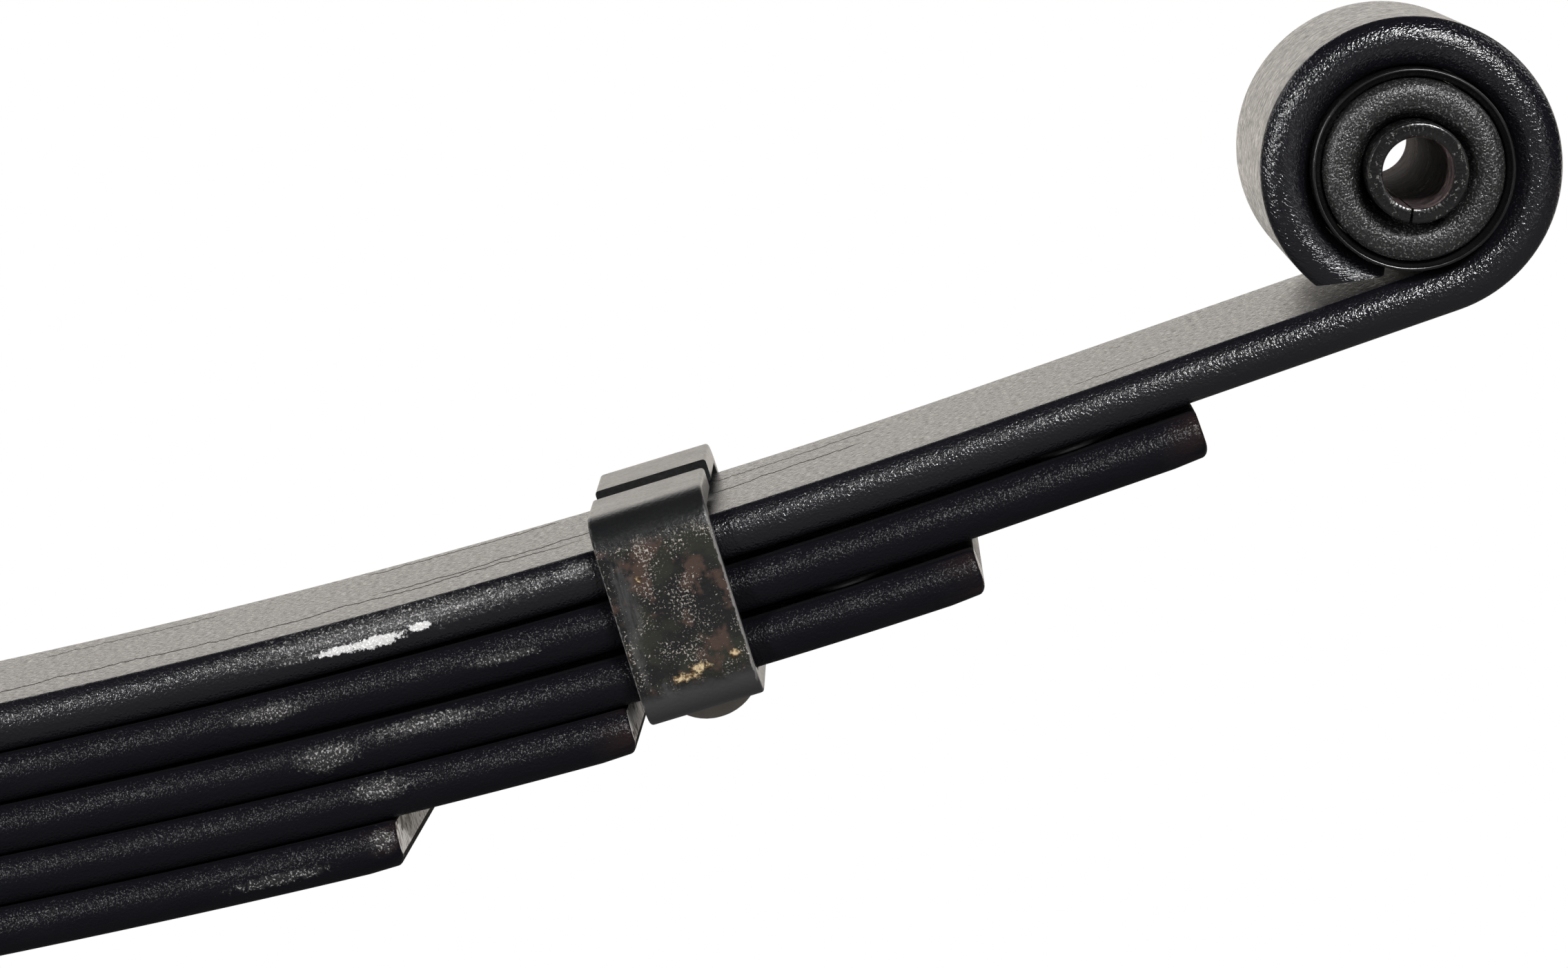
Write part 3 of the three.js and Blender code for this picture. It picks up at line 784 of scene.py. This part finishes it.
def make_clip_paint():
    """Scuffed, dusty black paint with rust coming through in patches and pale chips, and a painted glint
    along the strap's side edges.
    """
    material, g, shader = new_material("clip_paint", specular_ior_level=0.3)
    place = g.add("Attribute", attribute_name="lay").outputs["Vector"]
    split = g.add("SeparateXYZ", {0: place})
    side = g.math("ABSOLUTE", split.outputs["Y"])
    ragged = g.times(g.noise(place, 350.0, 4.0, 0.7), 3 * MM)
    height = g.math("ADD", split.outputs["Z"], ragged)
    on_side = g.times(g.range(side, STRAP_SIDE - 0.8 * MM, STRAP_SIDE), g.range(height, 2.5 * MM, 0.5 * MM))
    on_side = g.times(on_side, g.range(height, STRAP_FOOT, STRAP_FOOT + 2 * MM))
    skin = use_group(g, skin_group, vector=place, pebble_size=0.6 * MM, unevenness=0.6).outputs["Height"]
    crowding = g.range(g.noise(place, 210.0, 3.0, 0.6), 0.42, 0.6, -0.06, 0.04)
    below_bend = g.range(height, 2.5 * MM, 1.5 * MM)
    under_bend = g.times(below_bend, g.range(height, -2.5 * MM, -0.5 * MM))
    crowding = g.math("ADD", crowding, g.times(under_bend, 0.04))
    fine = g.math("ADD", g.noise(place, 2500.0, 3.0, 0.7), crowding)
    specks_mask = g.range(fine, 0.58, 0.62)
    blotches = g.noise(place, 190.0, 5.0, 0.62)
    greens = g.noise(place, 130.0, 3.0, 0.5)
    tone = g.mix(g.noise(place, 90.0, 3.0), grey(0.006, -0.1), grey(0.012))
    worn = g.mix(g.range(greens, 0.44, 0.56), grey(0.002), STRAP_GREEN)
    worn = g.mix(g.range(blotches, 0.52, 0.6), worn, STRAP_RUST)
    tone = g.mix(g.range(height, STRAP_FOOT + 1.5 * MM, STRAP_FOOT - 1 * MM), tone, grey(0.045))
    tone = g.mix(g.times(on_side, 0.9), tone, worn)
    # A pale line painted along both side edges of the strap: a painted glint on the edge's rounding.
    rim_line = g.larger(split.outputs["X"], g.times(split.outputs["X"], -0.97))
    painted_rim_glint = g.math("MULTIPLY_ADD", g.noise(place, 900.0, 3.0), 0.8 * MM, rim_line)
    painted_rim_glint = g.range(painted_rim_glint, CLIP_WIDTH / 2 - 0.15 * MM, CLIP_WIDTH / 2 + 0.05 * MM)
    painted_rim_glint = g.times(painted_rim_glint, g.range(side, STRAP_SIDE - 1.0 * MM, STRAP_SIDE))
    tone = g.mix(g.times(painted_rim_glint, 0.6), tone, grey(0.3, 0.03))
    streak = g.noise(g.stretch(place, 900, 900, 150), 1.0, 4.0, 0.7)
    streak_mask = chips = 0.0
    for along, level, half_length, half_height in GREY_STREAKS:
        spot = patch_at(g, place, (along, level), (half_length, half_height), 0.5)
        streak_mask = g.larger(spot, streak_mask)
    for along, level, half_length, half_height in YELLOW_CHIPS:
        spot = patch_at(g, place, (along, level), (half_length, half_height), 0.8)
        chips = g.larger(spot, chips)
    streak_mask = g.times(streak_mask, g.range(streak, 0.35, 0.65))
    tone = g.mix(g.times(streak_mask, 0.5), tone, grey(0.09, 0.0))
    tone = g.mix(g.times(g.times(specks_mask, on_side), 0.8), tone, grey(0.42, 0.1))
    chip_tone = g.mix(g.range(g.noise(place, 1500.0, 2.0), 0.4, 0.6), CHIP_BROWN, CHIP_YELLOW)
    tone = g.mix(chips, tone, chip_tone)
    g.feed(shader.inputs["Base Color"], tone)
    rough = g.larger(g.range(skin, 0.4, 1.0, 0.26, 0.38), g.times(on_side, 0.75))
    g.feed(shader.inputs["Roughness"], rough)
    relief = g.times(on_side, g.math("MULTIPLY_ADD", blotches, 2.5, specks_mask))
    relief = g.math("MULTIPLY_ADD", chips, 2.5, relief)
    bump(g, shader, g.math("MULTIPLY_ADD", skin, 0.4, relief), 0.15 * MM, 1.0)
    return material


def patch_at(g, place, spot, reach, ragged):
    """A patch on the strap's near side."""
    made = use_group(
        g,
        patch_group,
        vector=place,
        place=(spot[0] * MM, -STRAP_SIDE, spot[1] * MM),
        reach=(reach[0] * MM, MARK_DEPTH, reach[1] * MM),
        ragged=ragged,
    )
    return made.outputs["Mask"]


def make_rubber():
    """Moulded rubber with a pebbled skin, and pale specks painted in as a painted highlight sparkle."""
    material, g, shader = new_material("bush_rubber", specular_ior_level=0.5)
    place = g.add("TexCoord").outputs["Object"]
    skin = use_group(g, skin_group, vector=place, pebble_size=0.42 * MM, unevenness=0.15).outputs["Height"]
    tone = g.mix(g.noise(place, 300.0, 3.0), grey(0.008), grey(0.018, 0.04))
    # Pale specks painted into the rubber's colour: a painted highlight sparkle.
    painted_sparkle = g.range(g.noise(place, 2900.0, 1.5, 0.6), 0.58, 0.68)
    tone = g.mix(g.times(painted_sparkle, 0.3), tone, grey(0.45))
    g.feed(shader.inputs["Base Color"], tone)
    g.feed(shader.inputs["Roughness"], g.range(skin, 0.4, 0.8, 0.22, 0.34))
    bump(g, shader, skin, 0.2 * MM, 1.0)
    return material


def make_sleeve_paint():
    """Overpainted steel outside, brown and gritty in the bore."""
    material, g, shader = new_material("sleeve_steel", specular_ior_level=0.5)
    place = g.add("TexCoord").outputs["Object"]
    bore = g.add("Attribute", attribute_name="bore").outputs["Fac"]
    skin = use_group(g, skin_group, vector=place, pebble_size=0.45 * MM, unevenness=0.4).outputs["Height"]
    grit = use_group(
        g, speck_group, vector=place, speck_size=0.35 * MM, patch_size=8 * MM, amount=1.0
    ).outputs["Mask"]
    tone = g.mix(g.noise(place, 250.0, 3.0), grey(0.004), grey(0.008, 0.05))
    brown = g.mix(g.range(g.noise(place, 420.0, 4.0, 0.7), 0.4, 0.6), BORE_DARK, BORE_BROWN)
    brown = g.mix(g.times(grit, 0.8), brown, BORE_GRIT)
    chips = g.range(g.noise(place, 1400.0, 3.0, 0.7), 0.6, 0.68)
    tone = g.mix(g.times(chips, 0.5), tone, grey(0.3, 0.03))
    g.feed(shader.inputs["Base Color"], g.mix(bore, tone, brown))
    g.feed(shader.inputs["Roughness"], g.blend(bore, 0.22, 0.85))
    bump(g, shader, skin, 0.04 * MM, 0.8)
    return material


main_leaf_paint = make_leaf_paint("main_leaf_paint", 0.6)
leaf_paint = make_leaf_paint("leaf_paint", 0.12)
cut_steel = make_cut_steel()
clip_paint = make_clip_paint()
shell_paint = make_painted_part("shell_paint", base=0.005, pebble=3.0, rough=(0.2, 0.28), wear=0.0)
rivet_paint = make_painted_part("rivet_paint", base=0.2, rough=(0.4, 0.55), wear=0.4, warm=0.15)
sleeve_paint = make_sleeve_paint()
bolt_paint = make_painted_part("bolt_steel", rough=(0.3, 0.45), wear=0.3)
pad_plastic = make_painted_part("pad_plastic", base=0.03, rough=(0.35, 0.5), wear=0.25)
bush_rubber = make_rubber()


def finish_piece(mesh, material, body, node):
    """Makes a mesh a piece with a material and slot, which rides in place of a CAD node."""
    mesh.materials.append(material)
    piece = new_object(mesh.name, mesh)
    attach(piece, body)
    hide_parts(node)


# ---- bush ----


def mirrored_loop(outer_half):
    """A closed loop from the (radius, y) pairs of its +Y half, listed from inside to outside."""
    return outer_half + [(radius, -y) for radius, y in reversed(outer_half)]


def bush_shell(end, side):
    """A tube whose ends are bevelled inwards from a thin outer lip."""
    inner = SHELL_RADIUS - SHELL_WALL
    top = SHELL_HALF_LENGTH
    half = [
        (inner, top - 1.2 * MM),
        (inner + 0.06 * MM, top - 1.0 * MM),
        (inner + 0.25 * MM, top - 0.82 * MM),
        (inner + 0.6 * MM, top - 0.6 * MM),
        (SHELL_RADIUS - 0.62 * MM, top - 0.34 * MM),
        (SHELL_RADIUS - 0.48 * MM, top - 0.06 * MM),
        (SHELL_RADIUS - 0.32 * MM, top),
        (SHELL_RADIUS - 0.18 * MM, top - 0.04 * MM),
        (SHELL_RADIUS - 0.06 * MM, top - 0.16 * MM),
        (SHELL_RADIUS, top - 0.36 * MM),
        (SHELL_RADIUS, top - 1.2 * MM),
    ]
    mesh = spun(f"{end}_bush_shell_piece", mirrored_loop(half), eye_centre(side))
    finish_piece(mesh, shell_paint, f"{end}_arm", f"{end}_bush_shell")


# Rubber's end face: (share of the way from sleeve to shell, height over the leaf's side in millimetres)
RUBBER_FACE = (
    (0.0, 1.4),
    (0.05, 2.0),
    (0.09, 2.6),
    (0.13, 3.5),
    (0.18, 4.1),
    (0.26, 4.5),
    (0.4, 4.75),
    (0.55, 4.85),
    (0.7, 4.75),
    (0.82, 4.55),
    (0.9, 4.25),
    (0.95, 3.8),
    (0.98, 3.1),
    (1.0, 2.2),
)


def bush_rubber_ring(end, side):
    inner = SLEEVE_RADIUS + TOUCH_GAP
    outer = SHELL_RADIUS - SHELL_WALL - TOUCH_GAP
    half = [(inner + share * (outer - inner), LEAF_WIDTH / 2 + rise * MM) for share, rise in RUBBER_FACE]
    mesh = spun(f"{end}_bush_rubber_piece", mirrored_loop(half), eye_centre(side))
    finish_piece(mesh, bush_rubber, f"{end}_arm", f"{end}_bush_rubber")


SEAM_ANGLE = math.radians(262)
SEAM_WIDTH = 0.55 * MM
SLEEVE_SEGMENTS = 180
SLEEVE_TEETH = 30
TOOTH_HEIGHT = 0.1 * MM


def inner_sleeve(end, side):
    """A rolled sleeve: bevelled, serrated ends and a narrow seam along its length."""
    centre = eye_centre(side)
    top = SLEEVE_HALF_LENGTH
    half = [
        (SLEEVE_BORE_RADIUS, top - 3.0 * MM, 0),
        (SLEEVE_BORE_RADIUS - 0.15 * MM, top - 0.7 * MM, 0),
        (SLEEVE_BORE_RADIUS + 0.05 * MM, top - 0.35 * MM, 0.3),
        (SLEEVE_BORE_RADIUS + 0.45 * MM, top - 0.25 * MM, 1),
        (SLEEVE_BORE_RADIUS + 1.1 * MM, top - 0.25 * MM, 1),
        (SLEEVE_RADIUS - 0.8 * MM, top - 0.3 * MM, 1),
        (SLEEVE_RADIUS - 0.5 * MM, top - 0.25 * MM, 0.2),
        (SLEEVE_RADIUS - 0.3 * MM, top - 0.32 * MM, 0),
        (SLEEVE_RADIUS - 0.1 * MM, top - 0.6 * MM, 0),
        (SLEEVE_RADIUS, top - 1.2 * MM, 0),
    ]
    loop = half + [(radius, -y, tooth) for radius, y, tooth in reversed(half)]
    half_seam = SEAM_WIDTH / 2 / SLEEVE_RADIUS
    vertices = []
    in_bore = []
    for step in range(SLEEVE_SEGMENTS + 1):
        share = step / SLEEVE_SEGMENTS
        angle = SEAM_ANGLE + half_seam + (2 * math.pi - 2 * half_seam) * share
        wave = TOOTH_HEIGHT * math.sin(SLEEVE_TEETH * angle) * (0.6 + 0.4 * math.sin(5 * angle))
        for radius, y, tooth in loop:
            lift = math.copysign(wave * tooth, y)
            across = side * radius * math.cos(angle)
            vertices.append(centre + Vector((across, y + lift, radius * math.sin(angle))))
            in_bore.append(1.0 if radius <= SLEEVE_BORE_RADIUS else 0.0)
    faces = tube_faces(SLEEVE_SEGMENTS + 1, len(loop))
    mesh = mesh_from(f"{end}_inner_sleeve_piece", vertices, faces, 30)
    store(mesh, "bore", in_bore)
    finish_piece(mesh, sleeve_paint, f"{end}_sleeve", f"{end}_inner_sleeve")


# ---- clip, rivet, pads ----

STRAP_CORNER = 0.7 * MM
STRAP_STEP = 2 * MM
BEND_STEPS = 10
DOME_STEPS = 12
DOME_FLATNESS = 0.1
PAD_CORNER = 0.25 * MM
PAD_END_STEPS = 32


def strap_path(base_depth):
    """Middle line of the strap as (y, z, normal y, normal z), from the near ear round to the far ear."""
    middle = CLIP_THICKNESS / 2
    bend = CLIP_INNER_BEND + middle
    side_line = LEAF_WIDTH / 2 + CLIP_SIDE_GAP + middle
    top_line = CLIP_TOP_GAP + middle
    base_line = -(base_depth + middle)
    corner_y = side_line - bend
    points = []

    def straight(start, end, normal):
        length = (Vector(end) - Vector(start)).length
        steps = max(1, round(length / STRAP_STEP))
        for i in range(steps):
            place = Vector(start).lerp(Vector(end), i / steps)
            points.append((place.x, place.y, *normal))

    def turn(centre, start):
        for i in range(BEND_STEPS):
            angle = start + math.pi / 2 * i / BEND_STEPS
            normal = (math.cos(angle), math.sin(angle))
            points.append((centre[0] + bend * normal[0], centre[1] + bend * normal[1], *normal))

    straight((-CLIP_EAR_GAP / 2, top_line), (-corner_y, top_line), (0, 1))
    turn((-corner_y, top_line - bend), math.pi / 2)
    straight((-side_line, top_line - bend), (-side_line, base_line + bend), (-1, 0))
    turn((-corner_y, base_line + bend), math.pi)
    straight((-corner_y, base_line), (corner_y, base_line), (0, -1))
    turn((corner_y, base_line + bend), 1.5 * math.pi)
    straight((side_line, base_line + bend), (side_line, top_line - bend), (1, 0))
    turn((corner_y, top_line - bend), 0)
    straight((corner_y, top_line), (CLIP_EAR_GAP / 2, top_line), (0, 1))
    points.append((CLIP_EAR_GAP / 2, top_line, 0, 1))
    return points


def rebound_clip(end, side):
    """The strap under the clipped leaf, up both sides and in over the top to its two ears."""
    distance = EYE_FOOT - CLIP_SETBACK
    base_depth = leaf_depth(CLIPPED_LEAF, distance) + LEAF_THICKNESS + TOUCH_GAP
    place = leaf_frame(distance, 0, side)
    half_width = CLIP_WIDTH / 2
    half = CLIP_THICKNESS / 2
    corners = [(-half_width, -half), (half_width, -half), (half_width, half), (-half_width, half)]
    outline = rounded(corners, STRAP_CORNER, 4)
    path = strap_path(base_depth)
    lay = []
    for y, z, normal_y, normal_z in path:
        for along, out in outline:
            lay.append(Vector((along, y + out * normal_y, z + out * normal_z)))
    vertices = [place @ point for point in lay]
    faces = tube_faces(len(path), len(outline))
    mesh = mesh_from(f"{end}_clip_piece", vertices, faces, 50)
    store(mesh, "lay", lay, "FLOAT_VECTOR")
    finish_piece(mesh, clip_paint, f"{end}_arm", f"{end}_clip")


def turned(name, profile, place, segments=72):
    """A solid turned about the place's Z from (radius, z) pairs that start and end on the axis."""
    vertices = [place @ Vector((0, 0, profile[0][1]))]
    for radius, z in profile[1:-1]:
        for step in range(segments):
            angle = 2 * math.pi * step / segments
            vertices.append(place @ Vector((radius * math.cos(angle), radius * math.sin(angle), z)))
    vertices.append(place @ Vector((0, 0, profile[-1][1])))
    rows = len(profile) - 2
    faces = []
    for step in range(segments):
        following = (step + 1) % segments
        faces.append((0, 1 + following, 1 + step))
        for row in range(rows - 1):
            low = 1 + row * segments
            faces.append((low + step, low + following, low + segments + following, low + segments + step))
        last = 1 + (rows - 1) * segments
        faces.append((last + step, last + following, len(vertices) - 1))
    return mesh_from(name, vertices, faces, 35)


def clip_rivet(end, side):
    """The rivet through the strap and the clipped leaf, with its domed head underneath."""
    distance = EYE_FOOT - CLIP_SETBACK
    depth = leaf_depth(CLIPPED_LEAF, distance)
    head_top = -(depth + LEAF_THICKNESS + 2 * TOUCH_GAP + CLIP_THICKNESS)
    profile = [(0, head_top - RIVET_HEAD_HEIGHT)]
    for step in range(1, DOME_STEPS + 1):
        angle = math.pi / 2 * step / DOME_STEPS
        drop = RIVET_HEAD_HEIGHT * math.cos(angle) * (1 - DOME_FLATNESS + DOME_FLATNESS * math.cos(angle))
        profile.append((RIVET_HEAD_RADIUS * math.sin(angle), head_top - drop))
    shank_top = -depth - TOUCH_GAP
    profile += [(RIVET_RADIUS, head_top), (RIVET_RADIUS, shank_top), (0, shank_top)]
    mesh = turned(f"{end}_clip_rivet_piece", profile, leaf_frame(distance, 0, side))
    finish_piece(mesh, rivet_paint, f"{end}_arm", f"{end}_clip_rivet")


def tip_pad(end, side, leaf):
    """The pad with round ends that lies on a leaf's tip, under the leaf above."""
    distance = tip_of(leaf) - PAD_SETBACK
    place = leaf_frame(distance, leaf_depth(leaf, distance), side)
    thickness = TIP_GAP - 2 * TOUCH_GAP
    reach = PAD_SPAN / 2 - PAD_END_RADIUS
    rings = [
        (PAD_END_RADIUS - PAD_CORNER, TOUCH_GAP),
        (PAD_END_RADIUS, TOUCH_GAP + PAD_CORNER),
        (PAD_END_RADIUS, TOUCH_GAP + thickness - PAD_CORNER),
        (PAD_END_RADIUS - PAD_CORNER, TOUCH_GAP + thickness),
    ]
    vertices = []
    count = 2 * PAD_END_STEPS
    for radius, z in rings:
        for step in range(count):
            far_end = step < PAD_END_STEPS
            shift = reach if far_end else -reach
            angle = math.pi * (step % PAD_END_STEPS) / (PAD_END_STEPS - 1) + (0 if far_end else math.pi)
            vertices.append(place @ Vector((radius * math.cos(angle), shift + radius * math.sin(angle), z)))
    faces = tube_faces(len(rings), count)
    mesh = mesh_from(f"{end}_tip_pad_{leaf}_piece", vertices, faces, 50)
    finish_piece(mesh, pad_plastic, f"{end}_arm", f"{end}_tip_pad_{leaf}")


# ---- centre bolt and nut ----

THREAD_PITCH = 1.5 * MM
THREAD_DEPTH = 0.6 * MM
NUT_CHAMFER = 0.2 * MM
NUT_CHAMFER_STEPS = 6
NUT_COUNTERSINK = 0.6 * MM
NUT_SEGMENTS = 96


def centre_bolt():
    """Round head under the stack, shank through it and a threaded stub over the nut."""
    low = -TOUCH_GAP - BOLT_HEAD_HEIGHT
    top = STACK_HEIGHT + TOUCH_GAP + NUT_HEIGHT + BOLT_STUB
    profile = [
        (0, low),
        (BOLT_HEAD_RADIUS - 1.0 * MM, low),
        (BOLT_HEAD_RADIUS - 0.4 * MM, low + 0.15 * MM),
        (BOLT_HEAD_RADIUS, low + 0.8 * MM),
        (BOLT_HEAD_RADIUS, -TOUCH_GAP - 0.3 * MM),
        (BOLT_HEAD_RADIUS - 0.3 * MM, -TOUCH_GAP),
        (BOLT_RADIUS, -TOUCH_GAP),
    ]
    turns = round((BOLT_STUB - 1.2 * MM) / THREAD_PITCH * 2) + 1
    start = top - 1.0 * MM - turns * THREAD_PITCH
    profile.append((BOLT_RADIUS, start))
    for turn in range(turns):
        base = start + turn * THREAD_PITCH
        profile.append((BOLT_RADIUS - THREAD_DEPTH, base + 0.45 * THREAD_PITCH))
        profile.append((BOLT_RADIUS - THREAD_DEPTH, base + 0.6 * THREAD_PITCH))
        profile.append((BOLT_RADIUS, base + 0.95 * THREAD_PITCH))
    profile += [(BOLT_RADIUS - 0.9 * MM, top), (0, top)]
    mesh = turned("centre_bolt_piece", profile, Matrix.Identity(4), 96)
    finish_piece(mesh, bolt_paint, "leaf_pack", "centre_bolt")


def centre_nut():
    """Hexagon nut with both faces chamfered and a countersunk thread."""
    low = STACK_HEIGHT + TOUCH_GAP
    inner = BOLT_RADIUS + TOUCH_GAP
    half_flats = NUT_ACROSS_FLATS / 2
    corner = half_flats / math.cos(math.pi / 6)
    face_radius = half_flats - NUT_CHAMFER
    rows = [(inner + NUT_COUNTERSINK, 0.0), (face_radius, 0.0)]
    rise = (corner - face_radius) * math.tan(math.radians(30))
    for step in range(1, NUT_CHAMFER_STEPS + 1):
        share = step / NUT_CHAMFER_STEPS
        rows.append((face_radius + share * (corner - face_radius), share * rise))
    rows += [(radius, NUT_HEIGHT - z) for radius, z in reversed(rows)]
    rows += [(inner, NUT_HEIGHT - NUT_COUNTERSINK), (inner, NUT_COUNTERSINK)]
    vertices = []
    for step in range(NUT_SEGMENTS):
        angle = 2 * math.pi * step / NUT_SEGMENTS
        flat_angle = (angle + math.pi / 6) % (math.pi / 3) - math.pi / 6
        hexagon = half_flats / math.cos(flat_angle)
        for radius, z in rows:
            reach = min(radius, hexagon)
            vertices.append((reach * math.cos(angle), reach * math.sin(angle), low + z))
    faces = tube_faces(NUT_SEGMENTS, len(rows), closed_rows=True)
    mesh = mesh_from("centre_nut_piece", vertices, faces, 25)
    finish_piece(mesh, bolt_paint, "leaf_pack", "centre_nut")


for end_name, end_side in SIDES:
    for leaf_number in range(1, LEAF_COUNT + 1):
        leaf_half(leaf_number, end_name, end_side)
    bush_shell(end_name, end_side)
    bush_rubber_ring(end_name, end_side)
    inner_sleeve(end_name, end_side)
    rebound_clip(end_name, end_side)
    clip_rivet(end_name, end_side)
    for padded in PADDED_LEAVES:
        tip_pad(end_name, end_side, padded)
centre_bolt()
centre_nut()

# ---- floor, lights, camera ----

FLOOR_SIZE = 14.0
FLOOR_TONE = 0.2
# Seen by the paint, the floor's glow grows from none to full between these distances behind.
GLOW_START = 0.2
GLOW_END = 1.2
WHITE = (1, 1, 1, 1)
WARM_WHITE = (1.0, 0.94, 0.86, 1)
DIM_BLUE = (0.5, 0.5, 1.0, 1)
BACKDROP_LEVEL = 1.46
ROOM_LEVEL = 0.015


def make_floor():
    """White to the eye; to the paint, a pale table that is bright behind the spring."""
    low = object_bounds()[0][2]
    half = FLOOR_SIZE / 2
    mesh = bpy.data.meshes.new("floor")
    corners = [(-half, -half, low), (half, -half, low), (half, half, low), (-half, half, low)]
    mesh.from_pydata(corners, [], [(0, 1, 2, 3)])
    material = bpy.data.materials.new("studio_floor")
    material.use_nodes = True
    g = Graph(material.node_tree)
    g.tree.nodes.clear()
    seen = g.add("LightPath").outputs["Is Camera Ray"]
    bright = g.add("Emission", {"Color": WHITE, "Strength": 1.0})
    back = g.add("SeparateXYZ", {0: g.add("TexCoord").outputs["Object"]}).outputs["Y"]
    strength = g.range(back, GLOW_START, GLOW_END, 0.0, BACKDROP_LEVEL)
    glow = g.add("Emission", {"Color": WARM_WHITE, "Strength": strength})
    pale = g.add("BsdfDiffuse", {"Color": grey(FLOOR_TONE)})
    table = g.add("AddShader", {0: glow.outputs[0], 1: pale.outputs[0]})
    mixed = g.add("MixShader", {0: seen, 1: table.outputs[0], 2: bright.outputs[0]})
    output = g.add("OutputMaterial", {"Surface": mixed.outputs[0]})
    output.is_active_output = True
    mesh.materials.append(material)
    new_object("floor", mesh)


def make_world():
    """White to the eye; to the paint, a bright backdrop behind and a dark blue studio in front."""
    world = bpy.data.worlds.new("studio")
    bpy.context.scene.world = world
    world.use_nodes = True
    g = Graph(world.node_tree)
    g.tree.nodes.clear()
    split = g.add("SeparateXYZ", {0: g.add("TexCoord").outputs["Generated"]})
    behind = g.range(split.outputs["Y"], 0.35, 0.85)
    low = g.range(split.outputs["Z"], 0.25, 0.6, 1.0, 0.1)
    strength = g.times(g.times(behind, low), BACKDROP_LEVEL)
    backdrop = g.add("Background", {"Color": WARM_WHITE, "Strength": strength})
    room = g.add("Background", {"Color": DIM_BLUE, "Strength": ROOM_LEVEL})
    around = g.add("AddShader", {0: backdrop.outputs[0], 1: room.outputs[0]})
    white = g.add("Background", {"Color": WHITE, "Strength": 1.0})
    seen = g.add("LightPath").outputs["Is Camera Ray"]
    mixed = g.add("MixShader", {0: seen, 1: around.outputs[0], 2: white.outputs[0]})
    g.add("OutputWorld", {"Surface": mixed.outputs[0]})


def area_light(name, target, offset, size, energy):
    """A white softbox that hangs at an offset from its target and faces it."""
    light = bpy.data.lights.new(name, "AREA")
    light.shape = "RECTANGLE"
    light.size, light.size_y = size
    light.energy = energy
    lamp = bpy.data.objects.new(name, light)
    bpy.context.scene.collection.objects.link(lamp)
    lamp.location = target + Vector(offset)
    lamp.rotation_euler = (-Vector(offset)).to_track_quat("-Z", "Y").to_euler()


CAMERA_FROM_EYE = Vector((-96.37, -975.71, 69.48)) * MM
CAMERA_PITCH = math.radians(7.362)
CAMERA_YAW = math.radians(0.458)
CAMERA_LENS = 131.36
SENSOR_WIDTH = 36.0


def make_camera():
    camera = bpy.data.cameras.new("camera")
    camera.lens = CAMERA_LENS
    camera.sensor_width = SENSOR_WIDTH
    camera.clip_start = 0.01
    camera.clip_end = 100
    viewer = bpy.data.objects.new("camera", camera)
    bpy.context.scene.collection.objects.link(viewer)
    viewer.location = eye_centre(1) + CAMERA_FROM_EYE
    viewer.rotation_euler = (math.pi / 2 - CAMERA_PITCH, 0, CAMERA_YAW)
    bpy.context.scene.camera = viewer


make_floor()
make_world()
front_eye = eye_centre(1)
middle = Vector((0, 0, front_eye.z / 2))
# (name, what it points at, where it hangs from there, size, watts)
for softbox in (
    ("top softbox", front_eye, (0.35, -1.45, 0.8), (0.5, 0.2), 27),
    ("left softbox", front_eye, (-1.15, -1.15, 0.3), (0.14, 0.5), 14),
    ("right softbox", front_eye, (0.8, -1.3, 0.1), (0.16, 0.4), 1),
    ("left wing softbox", middle, (-1.9, 0.3, 1.3), (0.5, 1.2), 10),
    ("right wing softbox", middle, (1.9, 0.3, 1.3), (0.5, 1.2), 6),
    ("rear softbox", middle, (0.0, 1.6, 1.0), (1.8, 0.3), 3),
):
    area_light(*softbox)
make_camera()
bpy.context.scene.view_settings.view_transform = "Standard"
